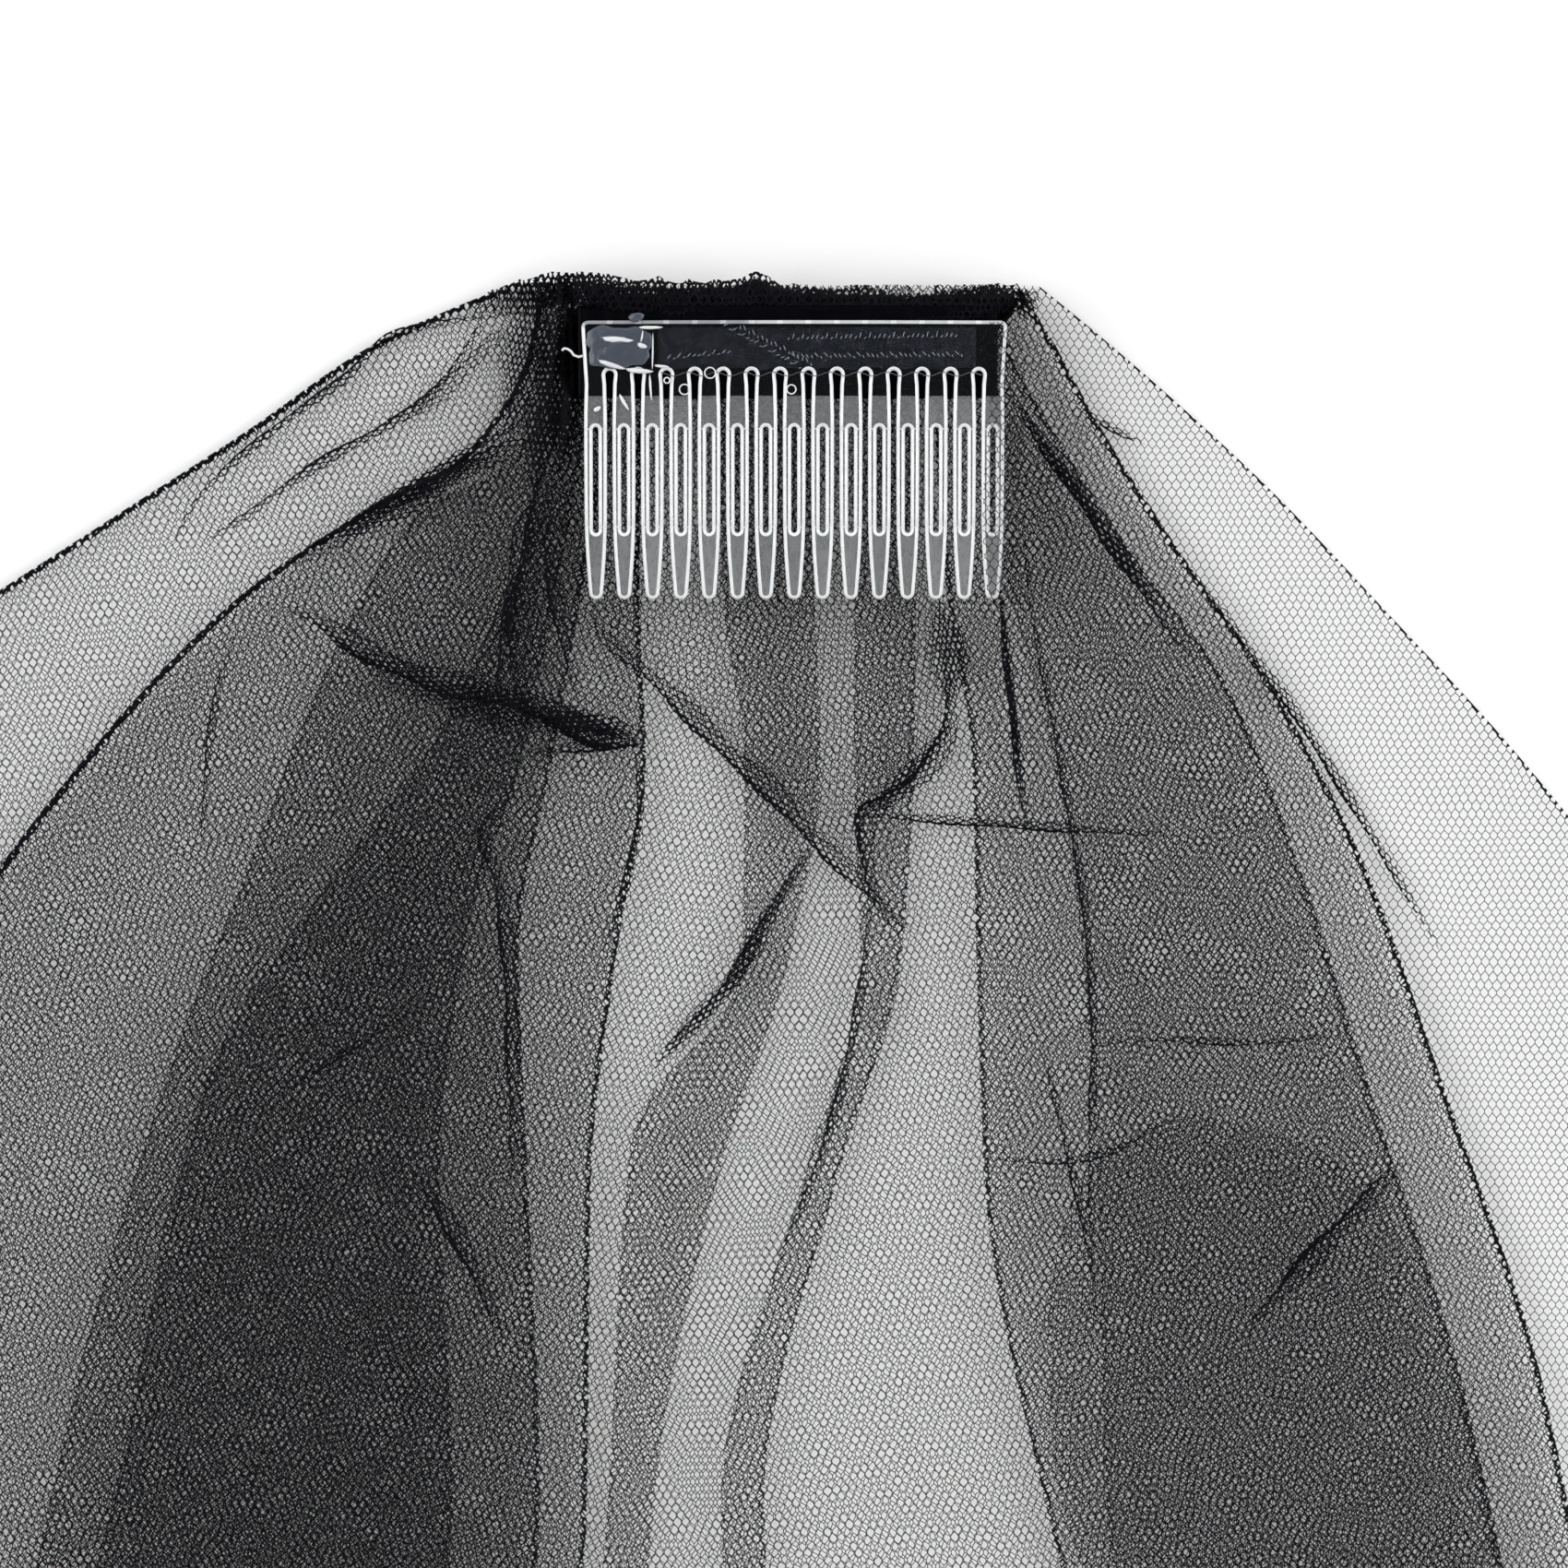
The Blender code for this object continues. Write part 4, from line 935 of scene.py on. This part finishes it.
# The painted highlight is duller on the top edge, most of all at its left, where it is mixed towards a
# painted dark grey shade, and shines again over each gap between two teeth
edge_pitch = add_node(painted_highlight_edge, "ShaderNodeMath", {1: TOOTH_PITCH, 2: 0.0},
                      {0: edge_axes.outputs["X"]}, operation="WRAP")
edge_from_gap = add_node(painted_highlight_edge, "ShaderNodeMath", {1: TOOTH_PITCH / 2, 2: 0.0005},
                         {0: edge_pitch.outputs["Value"]}, operation="COMPARE")
edge_right = add_node(painted_highlight_edge, "ShaderNodeMapRange",
                      {"From Min": -0.009, "From Max": -0.006, "To Min": 0.72, "To Max": 0.36},
                      {"Value": edge_axes.outputs["X"]})
edge_lit = add_node(painted_highlight_edge, "ShaderNodeMath", {1: -0.26},
                    {0: edge_from_gap.outputs["Value"], 2: edge_right.outputs["Result"]},
                    operation="MULTIPLY_ADD")
edge_dim = add_node(painted_highlight_edge, "ShaderNodeMath", None,
                    {0: edge_lit.outputs["Value"], 1: edge_top.outputs["Result"]}, operation="MULTIPLY")
edge_dimmed = add_node(painted_highlight_edge, "ShaderNodeMix", {"B": linear("#4c525c")},
                       {"Factor": edge_dim.outputs["Value"], "A": edge_tint.outputs["Result"]},
                       data_type="RGBA")
painted_highlight_edge.node_tree.links.new(edge_dimmed.outputs["Result"], edge_shader.inputs["Base Color"])

# The teeth rub against the net: their upper faces are a little fogged, and their faint white also stands in
# for light carried down the teeth: painted glow.
rubbed_plastic_painted_glow, rubbed_glow_shader = new_material("polystyrene_rubbed_painted_glow", "#f0f3f5", 0.20, IOR=1.55,
                                             Transmission_Weight=0.90)
rubbed_place = add_node(rubbed_plastic_painted_glow, "ShaderNodeTexCoord")
rubbed_marks = add_node(rubbed_plastic_painted_glow, "ShaderNodeTexNoise",
                        {"Scale": 1100.0, "Detail": 3.0, "Roughness": 0.6},
                        {"Vector": rubbed_place.outputs["Object"]})
rubbed_haze = add_node(rubbed_plastic_painted_glow, "ShaderNodeMapRange",
                       {"From Min": 0.35, "From Max": 0.65, "To Min": 0.05, "To Max": 0.35},
                       {"Value": rubbed_marks.outputs["Fac"]})
rubbed_plastic_painted_glow.node_tree.links.new(rubbed_haze.outputs["Result"], rubbed_glow_shader.inputs["Roughness"])

# Towards the tips they are worn by use, and fogged by fine scratches; their grey-white is also painted glow,
# standing in for light carried down the teeth.
worn_plastic_painted_glow, worn_glow_shader = new_material("polystyrene_scuffed_painted_glow", "#eef1f2", 0.35, IOR=1.55,
                                         Transmission_Weight=0.88)
worn_place = add_node(worn_plastic_painted_glow, "ShaderNodeTexCoord")
worn_stretch = add_node(worn_plastic_painted_glow, "ShaderNodeMapping", {"Scale": (1500.0, 420.0, 900.0)},
                        {"Vector": worn_place.outputs["Object"]})
worn_scratches = add_node(worn_plastic_painted_glow, "ShaderNodeTexNoise", {"Scale": 1.0, "Detail": 4.0, "Roughness": 0.7},
                          {"Vector": worn_stretch.outputs["Vector"]})
worn_haze = add_node(worn_plastic_painted_glow, "ShaderNodeMapRange",
                     {"From Min": 0.35, "From Max": 0.7, "To Min": 0.15, "To Max": 0.55},
                     {"Value": worn_scratches.outputs["Fac"]})
worn_glow_tint = add_node(worn_plastic_painted_glow, "ShaderNodeMix", {"A": linear("#c9cfd2"), "B": linear("#ffffff")},
                     {"Factor": worn_scratches.outputs["Fac"]}, data_type="RGBA")
worn_plastic_painted_glow.node_tree.links.new(worn_haze.outputs["Result"], worn_glow_shader.inputs["Roughness"])
worn_plastic_painted_glow.node_tree.links.new(worn_glow_tint.outputs["Result"], worn_glow_shader.inputs["Base Color"])


def arc_points(centre_x, centre_y, radius, start, end, steps):
    """Points on an arc, from one angle to the other."""
    return [(centre_x + radius * math.cos(start + (end - start) * i / steps),
             centre_y + radius * math.sin(start + (end - start) * i / steps)) for i in range(steps + 1)]


def tooth_edge(middle, side):
    """One side of a tooth, from the bar down to where its tip starts to round."""
    table = np.array(TOOTH_SIDE)
    shares = np.linspace(0.0, table[-1, 0], TOOTH_SIDE_POINTS)
    shares = shares[shares > TOOTH_SIDE_START]
    gaps = smooth_curve(table[:, 0], table[:, 1], shares)
    bulb = -COMB_BAR_HEIGHT - SLOT_BULB_RADIUS
    run = bulb + COMB_HEIGHT - TOOTH_TIP_WIDTH / 2
    return [(middle + side * (0.5 - gap) * TOOTH_PITCH, bulb - share * run)
            for share, gap in zip(shares, gaps)]


def comb_outline():
    """The comb seen flat, clockwise: the bar's rounded top, then tooth after tooth from right to left."""
    right = HALF_COMB
    corner = COMB_CORNER_RADIUS
    tip = TOOTH_TIP_WIDTH / 2
    bulb = -COMB_BAR_HEIGHT - SLOT_BULB_RADIUS
    points = arc_points(-right + corner, -corner, corner, math.pi, math.pi / 2, CORNER_STEPS)
    points += [(-right + step * TOOTH_PITCH / 2, 0.0) for step in range(1, 2 * COMB_TEETH)]
    points += arc_points(right - corner, -corner, corner, math.pi / 2, 0.0, CORNER_STEPS)
    for tooth in range(COMB_TEETH):
        middle = right - (tooth + 0.5) * TOOTH_PITCH
        points += tooth_edge(middle, 1)
        points += arc_points(middle, -COMB_HEIGHT + tip, tip, 0.0, -math.pi, ROUND_STEPS)
        points += reversed(tooth_edge(middle, -1))
        if tooth < COMB_TEETH - 1:
            points += arc_points(middle - TOOTH_PITCH / 2, bulb, SLOT_BULB_RADIUS, -BULB_OPENING,
                                 math.pi + BULB_OPENING, ROUND_STEPS)
    return points


def tooth_slot(middle):
    """The long oval slot through one tooth, the other way round from the outline."""
    radius = TOOTH_SLOT_WIDTH / 2
    upper = -TOOTH_SLOT_START - radius
    lower = -TOOTH_SLOT_START - TOOTH_SLOT_LENGTH + radius
    sides = np.linspace(upper, lower, SLOT_SIDE_POINTS)[1:-1]
    points = arc_points(middle, upper, radius, 0.0, math.pi, SLOT_STEPS)
    points += [(middle - radius, y) for y in sides]
    points += arc_points(middle, lower, radius, math.pi, 2 * math.pi, SLOT_STEPS)
    points += [(middle + radius, y) for y in sides[::-1]]
    return points


def rounded_plate(outlines, thickness, edge_round, steps):
    """A flat plate with rounded edges. Each outline runs with the solid on its right."""
    bm = bmesh.new()
    lean_x = bm.verts.layers.float.new("lean_x")
    lean_y = bm.verts.layers.float.new("lean_y")
    loop = []
    for outline in outlines:
        corners = np.array(outline)
        before = corners - np.roll(corners, 1, axis=0)
        after = np.roll(corners, -1, axis=0) - corners
        before /= np.linalg.norm(before, axis=1, keepdims=True)
        after /= np.linalg.norm(after, axis=1, keepdims=True)
        ahead = before + after
        ahead /= np.linalg.norm(ahead, axis=1, keepdims=True)
        inward = np.column_stack([ahead[:, 1], -ahead[:, 0]])
        ring = []
        for corner, lean in zip(corners, inward):
            vert = bm.verts.new((corner[0] + lean[0] * edge_round, corner[1] + lean[1] * edge_round, 0.0))
            vert[lean_x] = lean[0]
            vert[lean_y] = lean[1]
            ring.append(vert)
        loop += [bm.edges.new((ring[i - 1], ring[i])) for i in range(len(ring))]
    profile = [(edge_round * (1 - math.sin(math.pi / 2 * i / steps)),
                edge_round * (1 - math.cos(math.pi / 2 * i / steps))) for i in range(steps + 1)]
    profile += [(inset, thickness - height) for inset, height in reversed(profile)]
    lower = list(loop)
    for (inset, height), (next_inset, next_height) in zip(profile[:-1], profile[1:]):
        raised = bmesh.ops.extrude_edge_only(bm, edges=loop)["geom"]
        loop = [item for item in raised if isinstance(item, bmesh.types.BMEdge)]
        for vert in [item for item in raised if isinstance(item, bmesh.types.BMVert)]:
            vert.co.x += vert[lean_x] * (next_inset - inset)
            vert.co.y += vert[lean_y] * (next_inset - inset)
            vert.co.z += next_height - height
    # The rounded edge faces take the painted highlight.
    for face in bm.faces:
        face.material_index = PAINTED_HIGHLIGHT
    bmesh.ops.triangle_fill(bm, use_beauty=True, edges=lower, normal=(0.0, 0.0, -1.0))
    bmesh.ops.triangle_fill(bm, use_beauty=True, edges=loop, normal=(0.0, 0.0, 1.0))
    bmesh.ops.recalc_face_normals(bm, faces=bm.faces)
    for edge in lower + loop:
        edge.smooth = False
    return bm


slots = [tooth_slot((tooth + 0.5) * TOOTH_PITCH - HALF_COMB) for tooth in range(COMB_TEETH)]
bm = rounded_plate([comb_outline()] + slots, COMB_THICKNESS, EDGE_ROUND, EDGE_STEPS)
for step in (RUBBED_FROM, *TOOTH_STEPS):
    for cut in (step, step + TOOTH_STEP_RUN):
        bmesh.ops.bisect_plane(bm, geom=bm.verts[:] + bm.edges[:] + bm.faces[:], plane_co=(0.0, -cut, 0.0),
                               plane_no=(0.0, 1.0, 0.0))
# Faces across each mould step take the painted highlight, as a bright line; faces below the ribbon's foot
# take the rubbed and worn plastic, whose fog is partly painted glow.
for face in bm.faces:
    down = -face.calc_center_median().y
    if face.material_index == CLEAR and any(step < down < step + TOOTH_STEP_RUN for step in TOOTH_STEPS):
        face.material_index = PAINTED_HIGHLIGHT
    elif face.material_index == CLEAR and down > RUBBED_FROM:
        face.material_index = RUBBED_AND_GLOW if down < TOOTH_STEPS[1] else WORN_AND_GLOW
for vert in bm.verts:
    if vert.co.z > COMB_THICKNESS / 2:
        steps_passed = sum(-vert.co.y > step + TOOTH_STEP_RUN / 2 for step in TOOTH_STEPS)
        vert.co.z -= TOOTH_STEP_DROP * steps_passed
    vert.co.z += comb_face(vert.co.x, vert.co.y) - COMB_THICKNESS
comb = new_piece("clear_comb", bm, clear_plastic, replaces="comb")
for plastic in (painted_highlight_edge, worn_plastic_painted_glow, rubbed_plastic_painted_glow):
    comb.data.materials.append(plastic)


# The comb is held to the ribbon with hot glue, which set in a thin film under the bar, a wide smear over
# the first two teeth, a few bubbles, and a fine string that was drawn out as the glue gun came away.
GLUE_GAP = 0.0003
LOBE_DEPTHS = (0.06, 0.04, 0.03)
LUMP_DEPTH = 0.18
DOME_POWER = 0.8

# Hot-melt glue sets nearly clear, with a soft gloss: over the black ribbon it gives a faint blue haze.
clear_glue, clear_glue_shader = new_material("hot_melt_glue_clear", "#a4aece", 0.12, IOR=1.48,
                                             Transmission_Weight=0.986)
# Where it is smeared on thick, with air in it, the haze turns grey.
cloudy_glue, cloudy_glue_shader = new_material("hot_melt_glue_cloudy", "#8d95a6", 0.20, IOR=1.48,
                                               Transmission_Weight=0.80)
# Fine ridges that the nozzle left look frosted.
frosted_glue, frosted_glue_shader = new_material("hot_melt_glue_frosted", "#b4bbc8", 0.25, IOR=1.48,
                                                 Transmission_Weight=0.55)
# The last of it cooled while it was drawn out, and its ridges are white. This near-white is also painted
# highlight, standing in for the light the ridges and the bubbles' rims catch.
milky_glue_and_highlight, milky_highlight_glue_shader = new_material("hot_melt_glue_milky_and_highlight", "#f6f8fa", 0.16, IOR=1.48,
                                             Transmission_Weight=0.25)
for glue, shader in ((clear_glue, clear_glue_shader), (cloudy_glue, cloudy_glue_shader),
                     (frosted_glue, frosted_glue_shader), (milky_glue_and_highlight, milky_highlight_glue_shader)):
    place = add_node(glue, "ShaderNodeTexCoord")
    cloud = add_node(glue, "ShaderNodeTexNoise", {"Scale": 520.0, "Detail": 3.0, "Roughness": 0.6},
                     {"Vector": place.outputs["Object"]})
    bump = add_node(glue, "ShaderNodeBump", {"Strength": 0.6, "Distance": 0.0003},
                    {"Height": cloud.outputs["Fac"]})
    gloss = add_node(glue, "ShaderNodeMapRange", {"To Min": 0.05, "To Max": 0.35},
                     {"Value": cloud.outputs["Fac"]})
    glue.node_tree.links.new(bump.outputs["Normal"], shader.inputs["Normal"])
    glue.node_tree.links.new(gloss.outputs["Result"], shader.inputs["Roughness"])
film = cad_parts["glue_film"]
film.data.materials.clear()
film.data.materials.append(clear_glue)


def glue_drops(name, drops, corners, sides, material, replaces=None):
    """Drops of set glue on the comb, each a ball pressed flat on its foot, and squarer with more corners.

    Each drop is its place across and up, its length, width and height in millimetres, and its turn in
    degrees.
    """
    bm = bmesh.new()
    for x, y, length, width, height, degrees in drops:
        turn = math.radians(degrees)
        ball = bmesh.ops.create_uvsphere(bm, u_segments=sides, v_segments=sides // 2, radius=1.0)["verts"]
        for vert in ball:
            angle = math.atan2(vert.co.y, vert.co.x)
            square = (abs(math.cos(angle)) ** corners + abs(math.sin(angle)) ** corners) ** (-1 / corners)
            lobes = square * (1 + LOBE_DEPTHS[0] * math.sin(3 * angle + 0.7)
                              + LOBE_DEPTHS[1] * math.sin(7 * angle)
                              + LOBE_DEPTHS[2] * math.sin(13 * angle + x))
            along = vert.co.x * lobes * length / 2000
            across = vert.co.y * lobes * width / 2000
            drop_x = x / 1000 + along * math.cos(turn) - across * math.sin(turn)
            drop_y = y / 1000 + along * math.sin(turn) + across * math.cos(turn)
            lump = 1 + LUMP_DEPTH * math.sin(along * 1500 + 1.0) * math.sin(across * 1900)
            rise = max(0.0, vert.co.z) ** DOME_POWER * height / 1000 * lump
            vert.co = (drop_x, drop_y, comb_face(drop_x, drop_y) + GLUE_GAP + rise)
    bmesh.ops.recalc_face_normals(bm, faces=bm.faces)
    return new_piece(name, bm, material, replaces=replaces)


GLUE_BLOB = ((-30.9, -4.7, 11.2, 7.2, 0.5, 0),)
GLUE_DAB = ((-27.8, 0.5, 2.8, 1.6, 0.5, 10),)
# Raised ridges of glue, painted near white: painted highlights where they catch the light.
GLUE_HIGHLIGHT_STREAKS = (
    # across, up, length, width, height in millimetres, turn in degrees
    (-31.2, -3.4, 6.2, 1.2, 0.7, -5), (-26.8, -4.5, 1.9, 1.0, 0.7, -20), (-32.3, -7.8, 5.2, 0.9, 0.7, -18),
    (-27.3, -8.9, 4.8, 0.9, 0.7, -5), (-25.3, -1.3, 4.2, 0.6, 0.4, 0), (-23.4, -8.1, 2.5, 0.5, 0.3, -5),
    (-26.8, -3.0, 2.3, 0.4, 0.6, 80), (-24.9, -5.6, 6.4, 0.3, 0.4, 89), (-25.3, -11.8, 4.6, 0.4, 0.3, -86),
    (-30.0, -14.4, 3.2, 0.6, 0.3, -60), (-34.7, -15.6, 1.4, 0.8, 0.3, 30),
)
glue_drops("glue_blob_set", GLUE_BLOB, 4.0, 64, cloudy_glue, "glue_blob")
glue_drops("glue_dab_set", GLUE_DAB, 2.0, 24, cloudy_glue, "glue_dab")
glue_drops("glue_highlight_streaks", GLUE_HIGHLIGHT_STREAKS, 2.0, 24, milky_glue_and_highlight)

# The nozzle was dragged along the bar, and left rows of fine slanted ridges.
GLUE_ROWS = (
    # from across and up, to across and up, in millimetres, and the ridges' turn in degrees
    (-1.0, -3.1, 28.5, -2.6, 62), (-1.0, -6.4, 29.5, -6.0, -58), (-12.0, -1.0, 1.0, -8.2, 15),
    (-9.5, -1.2, 3.0, -7.6, 100), (-22.0, -6.6, -11.5, -5.6, 40),
)
RIDGE_STEP = 0.8
RIDGE_LENGTH = 0.9
RIDGE_WIDTH = 0.16
RIDGE_HEIGHT = 0.08
# How much the ridges differ from one to the next in place, length and turn
RIDGE_SHIFT = 0.25
RIDGE_STRETCH = 0.3
RIDGE_SWING = 14
ridges = []
for first_x, first_y, last_x, last_y, turn in GLUE_ROWS:
    count = int(math.hypot(last_x - first_x, last_y - first_y) / RIDGE_STEP)
    for number in range(count):
        share = number / (count - 1)
        sway = math.sin(2.7 * number + turn)
        ridges.append((first_x + share * (last_x - first_x),
                       first_y + share * (last_y - first_y) + RIDGE_SHIFT * sway,
                       RIDGE_LENGTH + RIDGE_STRETCH * sway, RIDGE_WIDTH, RIDGE_HEIGHT,
                       turn + RIDGE_SWING * sway))
glue_drops("glue_ridges", ridges, 2.0, 8, frosted_glue)

# Air bubbles in the film show as bright rings, made as rings of near-white glue: painted highlights. The
# film's lower edge shows as a fine wavy bead.
GLUE_BUBBLES = ((-14.8, -9.3, 0.95), (-19.3, -12.2, 0.9), (-0.5, -12.2, 0.8), (-22.4, -10.6, 0.5))
BUBBLE_WALL = 0.00012
BUBBLE_POINTS = 24
BEAD_RADIUS = 0.00008
BEAD_WAVE = 0.00035
BEAD_DROP = 0.0007
BEAD_ENDS = (-0.0235, 0.0330)
BEAD_POINTS = 120
STRING_RADIUS = 0.00022
THREAD_SIDES = 8


def glue_thread(name, points, radius, closed, material):
    """A fine thread of glue of even thickness along these points."""
    bm = bmesh.new()
    places = [Vector(point) for point in points]
    count = len(places)
    rings = []
    for number, place in enumerate(places):
        before = places[number - 1] if number or closed else place
        after = places[(number + 1) % count] if number < count - 1 or closed else place
        turn = (after - before).to_track_quat("Z", "Y")
        section = bmesh.ops.create_circle(bm, segments=THREAD_SIDES, radius=radius)["verts"]
        for vert in section:
            vert.co = place + turn @ vert.co
        rings.append([bm.edges.get((section[i - 1], section[i])) for i in range(THREAD_SIDES)])
    pairs = list(zip(rings[:-1], rings[1:])) + ([(rings[-1], rings[0])] if closed else [])
    for first, second in pairs:
        bmesh.ops.bridge_loops(bm, edges=first + second)
    if not closed:
        bmesh.ops.holes_fill(bm, edges=rings[0])
        bmesh.ops.holes_fill(bm, edges=rings[-1])
    bmesh.ops.recalc_face_normals(bm, faces=bm.faces)
    return new_piece(name, bm, material)


def on_comb(points, lift):
    """The same places across and up, set on the comb's face."""
    return [(x, y, comb_face(x, y) + lift) for x, y in points]


for number, (x, y, radius) in enumerate(GLUE_BUBBLES):
    circle = [((x + radius * math.cos(angle)) / 1000, (y + radius * math.sin(angle)) / 1000)
              for angle in np.linspace(0, 2 * math.pi, BUBBLE_POINTS + 1)[:-1]]
    glue_thread("glue_bubble_%d" % number, on_comb(circle, GLUE_GAP), BUBBLE_WALL, True, milky_glue_and_highlight)
bead = [(x, -COMB_BAR_HEIGHT - BEAD_DROP + BEAD_WAVE * math.sin(math.pi * (x / TOOTH_PITCH + 1) * 2))
        for x in np.linspace(*BEAD_ENDS, BEAD_POINTS)]
glue_thread("glue_bead", on_comb(bead, GLUE_GAP / 2), BEAD_RADIUS, False, cloudy_glue)
string = ((-0.0372, -0.0062), (-0.0380, -0.0064), (-0.0388, -0.0061), (-0.0393, -0.0054), (-0.0399, -0.0050),
          (-0.0405, -0.0049), (-0.0409, -0.0053))
glue_thread("glue_string", on_comb(string, -GLUE_GAP), STRING_RADIUS, False, milky_glue_and_highlight)

bpy.context.view_layer.update()
